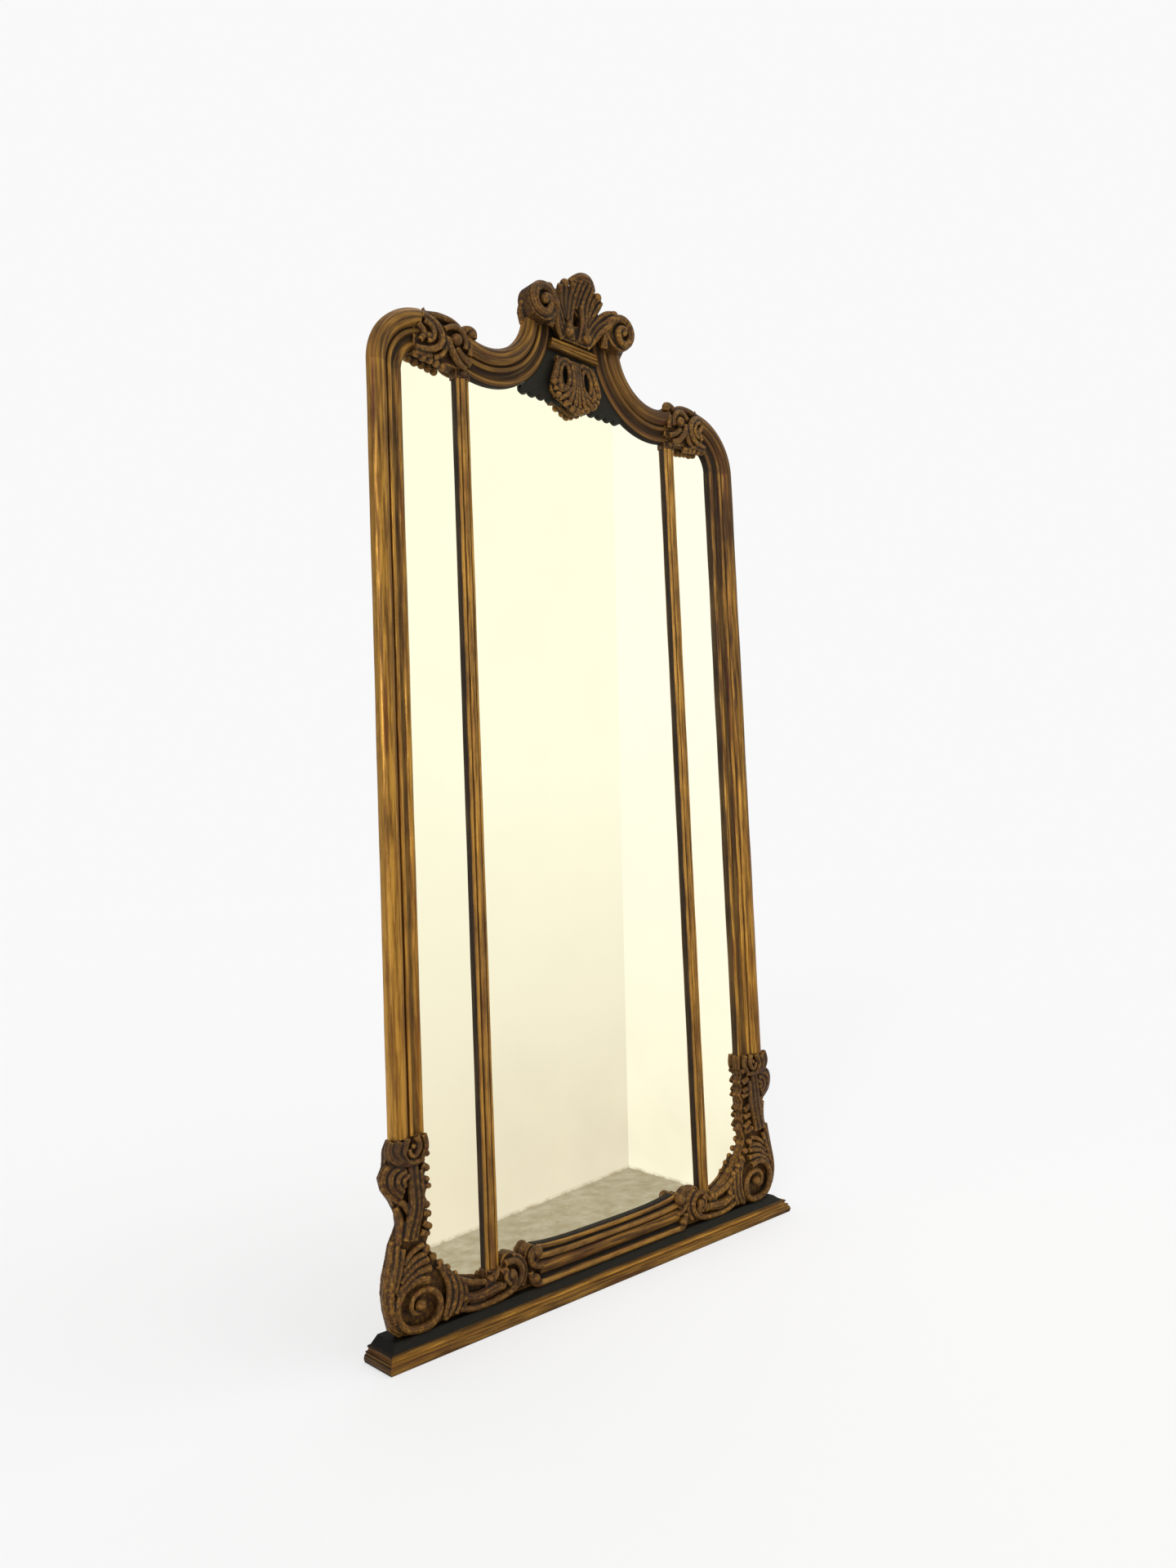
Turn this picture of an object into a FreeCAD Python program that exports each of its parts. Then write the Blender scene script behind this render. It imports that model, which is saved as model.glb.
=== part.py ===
import FreeCAD, Part
import os
import Sketcher

# Tall standing mirror in three panes: moulded and carved frame on a low plinth.
# Millimetres. X runs across the front, Y into the depth (the front faces -Y), Z is up.
# The origin lies on the floor, midway across the width and midway through the depth.

os.makedirs("parts", exist_ok=True)
doc = FreeCAD.newDocument("trumeau_mirror")

SIZES = {
    # depth, from the back plane forward
    "half_depth": 47.0,
    "carcass_thick": 19.0,
    "board_thick": 6.0,
    "glass_thick": 4.0,
    "relief": 13.0,
    # main moulding, which runs up the stiles, round the corners and down the necks
    "frame_half": 478.0,
    "mould_wide": 70.0,
    "rebate_wide": 10.0,
    "torus_wide": 34.0,
    "torus_rise": 12.0,
    "mid_bead_wide": 9.0,
    "mid_bead_rise": 3.5,
    "fillet_wide": 2.0,
    "cove_wide": 11.0,
    "cove_sink": 7.0,
    "sight_bead_wide": 12.0,
    "sight_bead_rise": 4.0,
    "sight_sink": 6.0,
    "bevel_wide": 13.0,
    "bevel_edge": 8.0,
    # plinth
    "plinth_proud": 8.0,
    "plinth_tall": 36.0,
    "plinth_front": 31.0,
    "plinth_mould": 13.0,
    "plinth_lip": 25.0,
    "plinth_slope": 13.0,
    "plinth_band": 13.0,
    "plinth_fillet": 4.0,
    "plinth_step": 2.0,
    # lower corners
    "volute_inset": 40.0,
    "volute_up": 42.0,
    "volute_proud": 25.0,
    "volute_tall": 150.0,
    "volute_round": 46.0,
    "volute_face": 12.0,
    "spiral_band": 7.0,
    "spiral_sink": 6.0,
    "leaf_tall": 159.0,
    "leaf_face": 10.0,
    "leaf_proud": 25.0,
    # scrolls below the glazing bars
    "scroll_off": 27.0,
    "scroll_up": 28.0,
    "scroll_round": 32.0,
    "scroll_face": 8.0,
    "scroll_tall": 50.0,
    "scroll_inset": 92.0,
    # bottom rail
    "rail_half": 182.0,
    "rail_tall": 61.0,
    "rail_face": 10.0,
    "rail_curl": 25.0,
    "curl_proud": 4.0,
    # glazing bars
    "bar_x": 277.0,
    "bar_wide": 31.0,
    "bar_bead_wide": 13.0,
    "bar_rise": 9.0,
    "bar_valley": 3.0,
    "foot_proud": 4.0,
    "boss_round": 7.2,
    "boss_proud": 2.0,
    "foot_tall": 20.0,
    "foot_wide": 33.0,
    "bar_foot_up": 34.0,
    "bar_head_drop": 82.0,
    # upper corners, necks and clasps
    "corner_round": 122.0,
    "shoulder": 1762.0,
    "neck_x": 225.0,
    "neck_up": 73.0,
    "neck_round": 98.0,
    "clasp_inset": 93.0,
    "clasp_over": 17.0,
    "clasp_face": 14.0,
    # crest
    "roll_off": 122.0,
    "roll_up": 18.0,
    "roll_round": 37.0,
    "roll_deep": 52.0,
    "roll_edge": 12.0,
    "roll_groove": 4.0,
    "crest_rise": 105.0,
    "shell_curl": 24.0,
    "shell_root": 14.0,
    "reed_drop": 40.0,
    "reed_tall": 21.0,
    "reed_face": 12.0,
    "panel_thick": 6.0,
    "panel_lap": 8.0,
    "panel_drop": 50.0,
    "scallop_deep": 6.0,
    "panel_foot_drop": 150.0,
    "pendant_foot_drop": 173.0,
    "pendant_face": 12.0,
    "pendant_half": 66.0,
    "pendant_gap": 6.0,
    "drop_x": 29.0,
    "drop_down": 100.0,
    "drop_tall": 40.0,
    "drop_wide": 15.0,
    # panes, boards and carcass
    "pane_gap": 4.0,
    "pane_foot_up": 10.0,
    "pane_head_drop": 62.0,
    "batten_wide": 34.0,
    "batten_inset": 38.0,
    "carcass_over": 2.0,
    "middle_z": 880.0,
    "crest_batten_wide": 60.0,
    "crest_batten_drop": 60.0,
    # fixings
    "plate_tall": 90.0,
    "plate_wide": 30.0,
    "plate_thick": 3.0,
    "plate_drop": 202.0,
    "hang_hole": 9.0,
    "hang_pocket": 16.0,
    "screw_shank": 4.0,
    "screw_head": 8.0,
    "screw_tall": 2.4,
    "screw_sink": 3.0,
    "screw_long": 30.0,
    "screw_first": 75.0,
    "screw_last": 212.0,
    "plate_screw_long": 16.0,
    "plate_screw_in": 12.0,
    "fit_gap": 0.3,
}

# Places that follow from the sizes above.
TIED = {
    "volute_x": "=frame_half - volute_inset",
    "volute_reach": "=frame_half + volute_proud",
    "leaf_reach": "=frame_half + leaf_proud",
    "plinth_long": "=2 * (frame_half + volute_proud + plinth_proud)",
    "scroll_start": "=frame_half - scroll_inset",
    "scroll_x": "=bar_x - scroll_off",
    "clasp_left": "=frame_half - clasp_inset",
    "clasp_right": "=bar_x - clasp_over",
    "batten_reach": "=frame_half - batten_inset",
    "volute_top": "=plinth_tall + volute_tall",
    "leaf_top": "=volute_top + leaf_tall",
    "bar_foot": "=plinth_tall + bar_foot_up",
    "pane_foot": "=plinth_tall + pane_foot_up",
    "bar_head": "=shoulder - bar_head_drop",
    "pane_head": "=shoulder - pane_head_drop",
    "carcass_head": "=pane_head + carcass_over",
    "plate_z": "=shoulder - plate_drop",
    "neck_z": "=shoulder + neck_up",
    "roll_x": "=neck_x - roll_off",
    "roll_z": "=neck_z + roll_up",
    "reed_z": "=neck_z - reed_drop",
    "crest_top": "=neck_z + crest_rise",
    "panel_foot": "=neck_z - panel_foot_drop",
    "pendant_foot": "=neck_z - pendant_foot_drop",
    "drop_z": "=neck_z - drop_down",
    "screw_low": "=leaf_top + screw_first",
    "screw_high": "=shoulder - corner_round - screw_last",
}

SCREW_COUNT = 4
REED_COUNT = 3
SCALLOP_COUNT = 12
NECK_TURN = 140.0

sheet = doc.addObject("Spreadsheet::Sheet", "sizes")
for row, (alias, value) in enumerate({**SIZES, **TIED}.items(), start=1):
    sheet.set("A%d" % row, alias)
    sheet.setAlias("B%d" % row, alias)
    sheet.set("B%d" % row, str(value))
doc.recompute()

NODES = []
V = FreeCAD.Vector


def size(alias):
    """The number that the sheet holds under this name."""
    return float(sheet.get(alias))


# Depth stations shared by all pieces.
BACK = size("half_depth")
CARCASS = BACK - size("carcass_thick")
BOARD = CARCASS - size("board_thick")
GLASS = BOARD - size("glass_thick")
FACE = GLASS - size("relief")
FLOOR = size("plinth_tall")
GAP = size("fit_gap")
FAR = size("crest_top")  # longer than any piece is wide or deep, for cutting tools


# ---- helpers ----

def origin_part(body, role):
    """One of the body's own origin planes or axes."""
    return next(f for f in body.Origin.OriginFeatures if f.Role == role)


def new_body(label):
    body = doc.addObject("PartDesign::Body", label)
    body.Label = label
    NODES.append(body)
    return body


def new_sketch(body, role, name):
    sketch = body.newObject("Sketcher::SketchObject", name)
    sketch.AttachmentSupport = [(origin_part(body, role), "")]
    sketch.MapMode = "FlatFace"
    return sketch


def rectangle(sketch, width, height):
    """A rectangle centred on the sketch origin, its two sides bound to expressions."""
    w, h = 10.0, 10.0
    corners = [V(-w, -h, 0), V(w, -h, 0), V(w, h, 0), V(-w, h, 0)]
    for i in range(4):
        sketch.addGeometry(Part.LineSegment(corners[i], corners[(i + 1) % 4]), False)
    for i in range(4):
        sketch.addConstraint(Sketcher.Constraint("Coincident", i, 2, (i + 1) % 4, 1))
    for i in (0, 2):
        sketch.addConstraint(Sketcher.Constraint("Horizontal", i))
    for i in (1, 3):
        sketch.addConstraint(Sketcher.Constraint("Vertical", i))
    sketch.addConstraint(Sketcher.Constraint("Symmetric", 0, 1, 2, 1, -1, 1))
    wide = sketch.addConstraint(Sketcher.Constraint("DistanceX", 0, 1, 0, 2, 2 * w))
    tall = sketch.addConstraint(Sketcher.Constraint("DistanceY", 1, 1, 1, 2, 2 * h))
    sketch.setExpression("Constraints[%d]" % wide, width)
    sketch.setExpression("Constraints[%d]" % tall, height)


def place(thing, x="0", y="0", z="0"):
    for axis, text in (("x", x), ("y", y), ("z", z)):
        thing.setExpression(".Placement.Base." + axis, text)


def board(label, wide, tall, thick, x, back, foot):
    """A flat rectangular board seen from the front: its back face lies at `back`."""
    body = new_body(label)
    sketch = new_sketch(body, "XZ_Plane", label + "_outline")
    rectangle(sketch, wide, tall)
    pad = body.newObject("PartDesign::Pad", label + "_pad")
    pad.Profile = sketch
    pad.setExpression("Length", thick)
    place(body, x, back, "(%s) + (%s) / 2" % (foot, tall))
    return body


def block(x_from, x_to, y_from, y_to, z_from, z_to):
    """A box between two corners given in any order."""
    low = V(min(x_from, x_to), min(y_from, y_to), min(z_from, z_to))
    return Part.makeBox(abs(x_to - x_from), abs(y_to - y_from), abs(z_to - z_from), low)


def through_hole(x, z, radius):
    """A cylinder along the depth, for clearances."""
    return Part.makeCylinder(radius, 2 * FAR, V(x, -FAR, z), V(0, 1, 0))


def draw(sketch, start, steps, side=1):
    """A closed outline: each step is a straight end (x, y) or an arc (mid x, mid y, end x, end y)."""
    here = V(side * start[0], start[1], 0)
    for step in list(steps) + [tuple(start)]:
        end = V(side * step[-2], step[-1], 0)
        if len(step) == 2:
            if (end - here).Length > 1e-6:
                sketch.addGeometry(Part.LineSegment(here, end), False)
        else:
            middle = V(side * step[0], step[1], 0)
            sketch.addGeometry(Part.Arc(here, middle, end), False)
        here = end


def shares(box, steps):
    """Steps given as shares of a box (x from, x to, z from, z to), in millimetres."""
    x_from, x_to, z_from, z_to = box
    spread = []
    for step in steps:
        along = [x_from + (x_to - x_from) * v for v in step[0::2]]
        up = [z_from + (z_to - z_from) * v for v in step[1::2]]
        spread.append(tuple(v for pair in zip(along, up) for v in pair))
    return spread


def pad_of(body, sketch, length, name="pad"):
    pad = body.newObject("PartDesign::Pad", body.Label + "_" + name)
    pad.Profile = sketch
    pad.setExpression("Length", length)


def pocket_of(body, sketch, length, name="pocket", reverse=False):
    pocket = body.newObject("PartDesign::Pocket", body.Label + "_" + name)
    pocket.Profile = sketch
    pocket.Reversed = reverse
    pocket.setExpression("Length", length)


def carved(label, start, steps, face, back, side=1):
    """A piece cut from the board to an outline in X and Z, from depth `back` forward to `face`."""
    body = new_body(label)
    sketch = new_sketch(body, "XZ_Plane", label + "_outline")
    draw(sketch, start, steps, side)
    pad_of(body, sketch, "(%s) - (%s)" % (back, face))
    place(body, "0", back, "0")
    return body


def solid_node(label, shape):
    """A piece whose shape comes from solids worked out above."""
    piece = doc.addObject("Part::Feature", label)
    piece.Label = label
    piece.Shape = shape
    NODES.append(piece)
    return piece


def wire_face(start, steps, plane):
    """A flat face with the outline of draw(), laid into the model by `plane`."""
    edges = []
    here = start
    for step in list(steps) + [tuple(start)]:
        end = (step[-2], step[-1])
        if len(step) == 2 and end == here:
            continue
        if len(step) == 2:
            edges.append(Part.LineSegment(plane(*here), plane(*end)).toShape())
        else:
            edges.append(Part.Arc(plane(*here), plane(step[0], step[1]), plane(*end)).toShape())
        here = end
    return Part.Face(Part.Wire(edges))


# Depth stations as expressions for the bound pieces.
BACK_X = "sizes.half_depth"
CARCASS_X = "sizes.half_depth - sizes.carcass_thick"
BOARD_X = CARCASS_X + " - sizes.board_thick"
GLASS_X = BOARD_X + " - sizes.glass_thick"
FACE_X = GLASS_X + " - sizes.relief"


# ---- the main moulding ----

def moulding_steps():
    """The moulding's section: u runs from its outer edge to its sight edge, the second value is depth."""
    w = size("mould_wide")
    torus = size("torus_wide")
    bead_a = torus + size("fillet_wide")
    bead_b = bead_a + size("mid_bead_wide")
    cove_b = bead_b + size("cove_wide")
    sight_b = cove_b + size("sight_bead_wide")
    low = FACE + size("cove_sink")
    sight = FACE + size("sight_sink")
    start = (size("bevel_wide"), CARCASS)
    steps = [
        (w - size("rebate_wide"), CARCASS),
        (w - size("rebate_wide"), GLASS),
        (w, GLASS),
        (w, sight),
        (sight_b, sight),
        ((cove_b + sight_b) / 2, sight - size("sight_bead_rise"), cove_b, sight),
        ((bead_b + cove_b) / 2, low, bead_b, FACE),
        ((bead_a + bead_b) / 2, FACE - size("mid_bead_rise"), bead_a, FACE),
        (torus, FACE),
        (torus / 2, FACE - size("torus_rise"), 0.0, FACE),
        (0.0, FACE + size("bevel_edge")),
    ]
    return start, steps


def stile(side, name):
    body = new_body(name + "_stile")
    sketch = new_sketch(body, "XY_Plane", name + "_stile_section")
    start, steps = moulding_steps()
    half = size("frame_half")
    turned = [tuple(half - v if i % 2 == 0 else v for i, v in enumerate(s)) for s in steps]
    draw(sketch, (half - start[0], start[1]), turned, side)
    pad_of(body, sketch, "sizes.shoulder - sizes.corner_round - sizes.leaf_top")
    place(body, "0", "0", "sizes.leaf_top")


def corner(side, name):
    """The rounded upper corner with its short level run to the clasp."""
    round_r = size("corner_round")
    cx = side * (size("frame_half") - round_r)
    cz = size("shoulder") - round_r
    start, steps = moulding_steps()

    def upright(u, y):
        return V(cx + side * (round_r - u), y, cz)

    def level(u, y):
        return V(cx, y, cz + round_r - u)

    bend = wire_face(start, steps, upright).revolve(V(cx, 0, cz), V(0, 1, 0), -side * 90)
    run = wire_face(start, steps, level).extrude(V(-side * round_r, 0, 0))
    shape = bend.fuse(run).removeSplitter()
    inward = block(0, side * size("clasp_left"), -FAR, FAR, 0, FAR)
    solid_node(name + "_corner", shape.cut(inward).cut(pane_room(side)))


def neck(side, name):
    """The neck sweeps down from the clasp and up to the roll."""
    cx = side * size("neck_x")
    cz = size("neck_z")
    inner = size("neck_round")
    start, steps = moulding_steps()

    def section(u, y):
        return V(cx - side * (inner + u), y, cz)

    sweep = wire_face(start, steps, section).revolve(V(cx, 0, cz), V(0, 1, 0), -side * NECK_TURN)
    sweep = sweep.cut(block(side * size("clasp_right"), side * FAR, -FAR, FAR, 0, FAR))
    room = through_hole(side * size("roll_x"), size("roll_z"), size("roll_round") + GAP)
    solid_node(name + "_neck", sweep.cut(room).cut(pane_room(side)))


def pane_room(side):
    """The space of panes and back boards on one side, cut from the curved pieces in front of them."""
    reach = size("frame_half") - size("mould_wide") + size("rebate_wide")
    return block(0, side * reach, GLASS, CARCASS + GAP, FLOOR, size("pane_head") + GAP)


# ---- plinth ----

def plinth_section():
    """Section of the plinth moulding, as distance out from its back edge and height."""
    deep = size("plinth_mould")
    band = size("plinth_band")
    step = size("plinth_step")
    lip = size("plinth_lip")
    lip_z = lip - size("plinth_fillet")
    neck_u = size("plinth_fillet")
    foot_u = deep - 2 * step
    hollow_u = neck_u + 0.2 * (foot_u - neck_u)
    hollow_z = band + 0.35 * (lip_z - band)
    steps = [
        (deep - step, 0.0),
        (deep, band / 2, deep - step, band),
        (foot_u, band),
        (hollow_u, hollow_z, neck_u, lip_z),
        (neck_u + step, lip_z),
        (neck_u + step, lip),
        (0.0, lip),
    ]
    return (0.0, 0.0), steps


def plinth():
    half = size("plinth_long") / 2
    front = -size("plinth_front")
    deep = size("plinth_mould")
    plinth_board(half - deep, BACK - front - deep)
    start, steps = plinth_section()

    def front_plane(u, z):
        return V(-half, front + deep - u, z)

    strip = wire_face(start, steps, front_plane).extrude(V(2 * half, 0, 0))
    for side in (-1, 1):
        strip = strip.cut(miter(side, half, front, deep, (side * half, front + deep)))
    solid_node("plinth_front_moulding", strip)
    for side, name in ((-1, "left"), (1, "right")):
        def side_plane(u, z, side=side):
            return V(side * (half - deep + u), front, z)
        bar = wire_face(start, steps, side_plane).extrude(V(0, BACK - front, 0))
        bar = bar.cut(miter(side, half, front, deep, (side * (half - deep), front)))
        solid_node("plinth_%s_return" % name, bar)


def plinth_board(half, deep):
    """The board that carries the frame; its top slopes down to the moulding in front and at both ends."""
    slope = size("plinth_slope")
    lip = size("plinth_lip")
    board_body = new_body("plinth_board")
    sketch = new_sketch(board_body, "XY_Plane", "plinth_board_plan")
    rectangle(sketch, "sizes.plinth_long - 2 * sizes.plinth_mould",
              "sizes.half_depth + sizes.plinth_front - sizes.plinth_mould")
    pad_of(board_body, sketch, "sizes.plinth_tall")
    ends = new_sketch(board_body, "XZ_Plane", "plinth_board_end_slopes")
    for side in (-1, 1):
        draw(ends, (half, lip), [(half, FLOOR), (half - slope, FLOOR)], side)
    slope_cut(board_body, ends, "end_slopes")
    fall = new_sketch(board_body, "YZ_Plane", "plinth_board_front_slope")
    draw(fall, (-deep / 2, lip), [(-deep / 2, FLOOR), (slope - deep / 2, FLOOR)])
    slope_cut(board_body, fall, "front_slope")
    place(board_body, "0", "(sizes.half_depth - sizes.plinth_front + sizes.plinth_mould) / 2", "0")


def slope_cut(body, sketch, name):
    """Cuts a sketch's outline through the whole board, to both sides of the sketch."""
    pocket_of(body, sketch, "sizes.plinth_long", name)
    body.Tip.Midplane = True


def miter(side, half, front, deep, third):
    """The corner wedge that a mitred strip loses; its third point is the corner cut away."""
    foot = -GAP
    outer = V(side * half, front, foot)
    inner = V(side * (half - deep), front + deep, foot)
    points = [outer, inner, V(third[0], third[1], foot)]
    return Part.Face(Part.makePolygon(points + points[:1])).extrude(V(0, 0, FLOOR + 2 * GAP))


# ---- carved lower part ----

def volute(side, name):
    """Corner scroll: outline board with a spiral sunk into its face and a round eye."""
    cx = size("volute_x")
    cz = FLOOR + size("volute_up")
    top = size("volute_top")
    sight = size("frame_half") - size("mould_wide") + size("rebate_wide")
    box = (size("scroll_start"), size("volute_reach"), FLOOR, top)
    outline = shares(box, [
        (0.735, 0.0),
        (0.88, 0.133, 0.966, 0.307),
        (1.0, 0.413, 0.974, 0.653),
        (0.923, 0.827, 0.923, 1.0),
        (0.171, 1.0),
        (0.154, 0.84),
        (0.068, 0.693, 0.0, 0.613),
        (0.0, 0.0),
    ])
    face = FACE_X + " - sizes.volute_face"
    body = carved(name + "_volute", outline[0], outline[1:], face, CARCASS_X, side)
    groove = new_sketch(body, "XZ_Plane", name + "_volute_spiral")
    spiral_outline(groove, side, cx, cz, size("volute_round"), size("spiral_band"))
    groove.AttachmentOffset = forward(CARCASS - FACE + size("volute_face"))
    pocket_of(body, groove, "sizes.spiral_sink", "groove")
    rebate(body, name + "_volute", side, box[0] - GAP, sight, top)


def forward(depth):
    """A sketch's shift off the body's plane, towards the front."""
    return FreeCAD.Placement(V(0, 0, depth), FreeCAD.Rotation())


def spiral_outline(sketch, side, cx, cz, r, band):
    """A groove of even width that winds in by half circles about two centres in turn."""
    arcs = []
    x = r - band
    for i in range(4):
        sign = 1 if i % 2 == 0 else -1
        radius = r - band - i * band
        arcs.append((x - sign * radius, radius, sign))
        x -= 2 * sign * radius
    groove = 0.9 * band
    steps = []
    for centre, radius, sign in arcs:
        steps.append((cx + centre, cz + sign * radius, cx + centre - sign * radius, cz))
    centre, radius, sign = arcs[-1]
    steps.append((cx + centre - sign * (radius - groove), cz))
    for centre, radius, sign in reversed(arcs):
        small = radius - groove
        steps.append((cx + centre, cz + sign * small, cx + centre + sign * small, cz))
    draw(sketch, (cx + r - band, cz), steps, side)


def rebate(body, label, side, x_from, x_to, z_to):
    """The step behind a carved piece in which the panes and the back boards stand."""
    sketch = new_sketch(body, "XZ_Plane", label + "_rebate_plan")
    foot = size("pane_foot")
    head = z_to + GAP
    draw(sketch, (x_from, foot), [(x_to, foot), (x_to, head), (x_from, head)], side)
    pocket_of(body, sketch, "sizes.board_thick + sizes.glass_thick", "rebate", True)


def stile_leaf(side, name):
    """Acanthus that wraps the foot of the stile, with curled edges on both sides."""
    inner = size("frame_half") - size("mould_wide")
    top = size("leaf_top")
    outline = shares((inner, size("leaf_reach"), size("volute_top"), top), [
        (0.716, 1.0),
        (0.821, 0.899, 0.747, 0.774),
        (0.968, 0.711, 1.0, 0.61),
        (0.937, 0.472, 0.716, 0.384),
        (0.8, 0.333, 0.74, 0.233),
        (0.68, 0.182, 0.68, 0.107),
        (0.905, 0.0),
        (-0.021, 0.0),
        (-0.095, 0.075, -0.032, 0.151),
        (-0.105, 0.214, -0.021, 0.289),
        (-0.116, 0.39, -0.032, 0.503),
        (-0.095, 0.579, -0.021, 0.654),
        (-0.084, 0.742, 0.011, 0.818),
        (-0.063, 0.874, 0.0, 1.0),
    ])
    face = FACE_X + " - sizes.leaf_face"
    body = carved(name + "_stile_leaf", outline[0], outline[1:], face, CARCASS_X, side)
    sight = inner + size("rebate_wide")
    rebate(body, name + "_stile_leaf", side, inner - size("scroll_round"), sight, top)


def foot_scroll(side, name):
    """C-scroll under the glazing bar, between the corner scroll and the bottom rail."""
    cx = size("scroll_x")
    cz = FLOOR + size("scroll_up")
    r = size("scroll_round")
    tall = size("scroll_tall")
    outer = size("scroll_start")
    inner = size("rail_half") + size("rail_curl")
    bar_out = size("bar_x") + size("foot_wide") / 2
    bar_in = size("bar_x") - size("foot_wide") / 2
    bar_foot = size("bar_foot")
    hollow_x = bar_out + 0.61 * (outer - bar_out)
    start = (outer, FLOOR)
    steps = [
        (outer, FLOOR + 1.56 * tall),
        (hollow_x, FLOOR + 1.2 * tall, bar_out, bar_foot),
        (bar_in, bar_foot),
        (bar_in, cz + 1.1 * r),
        (inner + 0.5 * (bar_in - inner), cz + 1.35 * r, inner, cz + 0.85 * r),
        (inner, FLOOR),
    ]
    body = carved(name + "_foot_scroll", start, steps, FACE_X + " - sizes.scroll_face", CARCASS_X, side)
    rebate(body, name + "_foot_scroll", side, 0.0, outer + GAP, FLOOR + 2 * tall)
    ring = new_sketch(body, "XZ_Plane", name + "_foot_scroll_ring")
    for radius in (r * 0.72, r * 0.42):
        ring.addGeometry(Part.Circle(V(side * cx, cz, 0), V(0, 0, 1), radius), False)
    ring.AttachmentOffset = forward(CARCASS - FACE + size("scroll_face"))
    pocket_of(body, ring, "sizes.spiral_sink / 2", "ring")


def bottom_rail():
    """Moulded rail between the two foot scrolls."""
    top = FLOOR + size("rail_tall")
    body = new_body("bottom_rail")
    sketch = new_sketch(body, "YZ_Plane", "bottom_rail_section")
    ledge = size("pane_foot")
    steps = shares((FACE - size("rail_face"), FACE, FLOOR, top), [
        (0.0, 0.0),
        (-0.5, 0.15, 0.0, 0.295),
        (0.4, 0.295),
        (0.4, 0.36),
        (-0.1, 0.557, 0.8, 0.77),
        (1.0, 0.82),
        (0.6, 0.91, 1.0, 1.0),
    ])
    steps += [(GLASS, top), (GLASS, ledge), (CARCASS, ledge)]
    draw(sketch, (CARCASS, FLOOR), steps)
    pad_of(body, sketch, "2 * sizes.rail_half")
    place(body, "-sizes.rail_half")


def rail_curls():
    """The curled leaf ends that cap the bottom rail."""
    r = size("rail_curl")
    x = size("rail_half")
    top = FLOOR + size("rail_tall")
    start = (x + GAP, FLOOR)
    steps = [
        (x + r - GAP, FLOOR),
        (x + r - GAP, top - 0.3 * r),
        (x + 0.72 * r, top + 0.1 * r),
        (x + 0.36 * r, top + 0.45 * r, x + GAP, top + 0.1 * r),
    ]
    face = FACE_X + " - sizes.rail_face - sizes.curl_proud"
    for side, name in ((-1, "left"), (1, "right")):
        body = carved(name + "_rail_curl", start, steps, face, CARCASS_X, side)
        rebate(body, name + "_rail_curl", side, x - r, x + 2 * r, top + 2 * r)


# ---- glazing bars ----

def glazing_bar(side, name):
    """Reeded bar over the joint of two panes."""
    w = size("bar_wide") / 2
    bead = size("bar_bead_wide") / 2
    rise = size("bar_rise")
    body = new_body(name + "_glazing_bar")
    sketch = new_sketch(body, "XY_Plane", name + "_glazing_bar_section")
    x = size("bar_x")
    valley = GLASS - rise + size("bar_valley")
    side_crest = GLASS - rise - size("bar_valley") / 3
    crest = GLASS - rise - size("bar_valley")
    steps = [
        (x + w, GLASS),
        (x + w, valley),
        (x + (w + bead) / 2, side_crest, x + bead, valley),
        (x, crest, x - bead, valley),
        (x - (w + bead) / 2, side_crest, x - w, valley),
    ]
    draw(sketch, (x - w, GLASS), steps, side)
    pad_of(body, sketch, "sizes.bar_head - sizes.bar_foot - 2 * sizes.foot_tall")
    place(body, "0", "0", "sizes.bar_foot + sizes.foot_tall")
    thick = "sizes.bar_rise + sizes.foot_proud"
    across = "%d * sizes.bar_x" % side
    ends = (("_bar_foot", "sizes.bar_foot"), ("_bar_head", "sizes.bar_head - sizes.foot_tall"))
    for label, foot in ends:
        piece = board(name + label, "sizes.foot_wide", "sizes.foot_tall", thick, across, GLASS_X, foot)
        boss = new_sketch(piece, "XZ_Plane", name + label + "_boss")
        boss.addGeometry(Part.Circle(V(0, 0, 0), V(0, 0, 1), size("boss_round")), False)
        boss.AttachmentOffset = forward(size("bar_rise") + size("foot_proud"))
        pad_of(piece, boss, "sizes.boss_proud", "boss_pad")


# ---- carved upper part ----

def clasp(side, name):
    """Leaf clasp between corner and neck, over the head of the glazing bar."""
    left = size("clasp_left")
    right = size("clasp_right")
    head = size("bar_head")
    room = size("pane_head") + GAP
    outline = shares((right, left, head, size("shoulder")), [
        (1.0, 0.073),
        (1.0, 0.93),
        (0.856, 1.0),
        (0.792, 1.17, 0.712, 1.05),
        (0.504, 1.22, 0.328, 1.073),
        (0.232, 1.122, 0.168, 0.927),
        (0.084, 1.06, 0.0, 0.976),
        (0.0, 0.0),
        (0.272, 0.0),
    ])
    face = FACE_X + " - sizes.clasp_face"
    body = carved(name + "_clasp", outline[0], outline[1:], face, CARCASS_X, side)
    sketch = new_sketch(body, "XZ_Plane", name + "_clasp_rebate_plan")
    low = head - size("foot_tall")
    draw(sketch, (right - GAP, low), [(left + GAP, low), (left + GAP, room), (right - GAP, room)], side)
    pocket_of(body, sketch, "sizes.board_thick + sizes.glass_thick", "rebate", True)


def roll(side, name):
    """Rolled end of the neck: a drum with a rounded edge and a ring cut round its eye."""
    back = FACE + size("bar_valley")
    front = back - size("roll_deep")
    x = side * size("roll_x")
    z = size("roll_z")
    r = size("roll_round")
    drum = Part.makeCylinder(r, size("roll_deep"), V(x, front, z), V(0, 1, 0))
    drum = drum.makeFillet(size("roll_edge"), [e for e in drum.Edges if len(e.Vertexes) == 1])
    ring = Part.makeTorus(r * 0.55, size("roll_groove"), V(x, front, z), V(0, 1, 0))
    solid_node(name + "_roll", drum.cut(ring))


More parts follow.
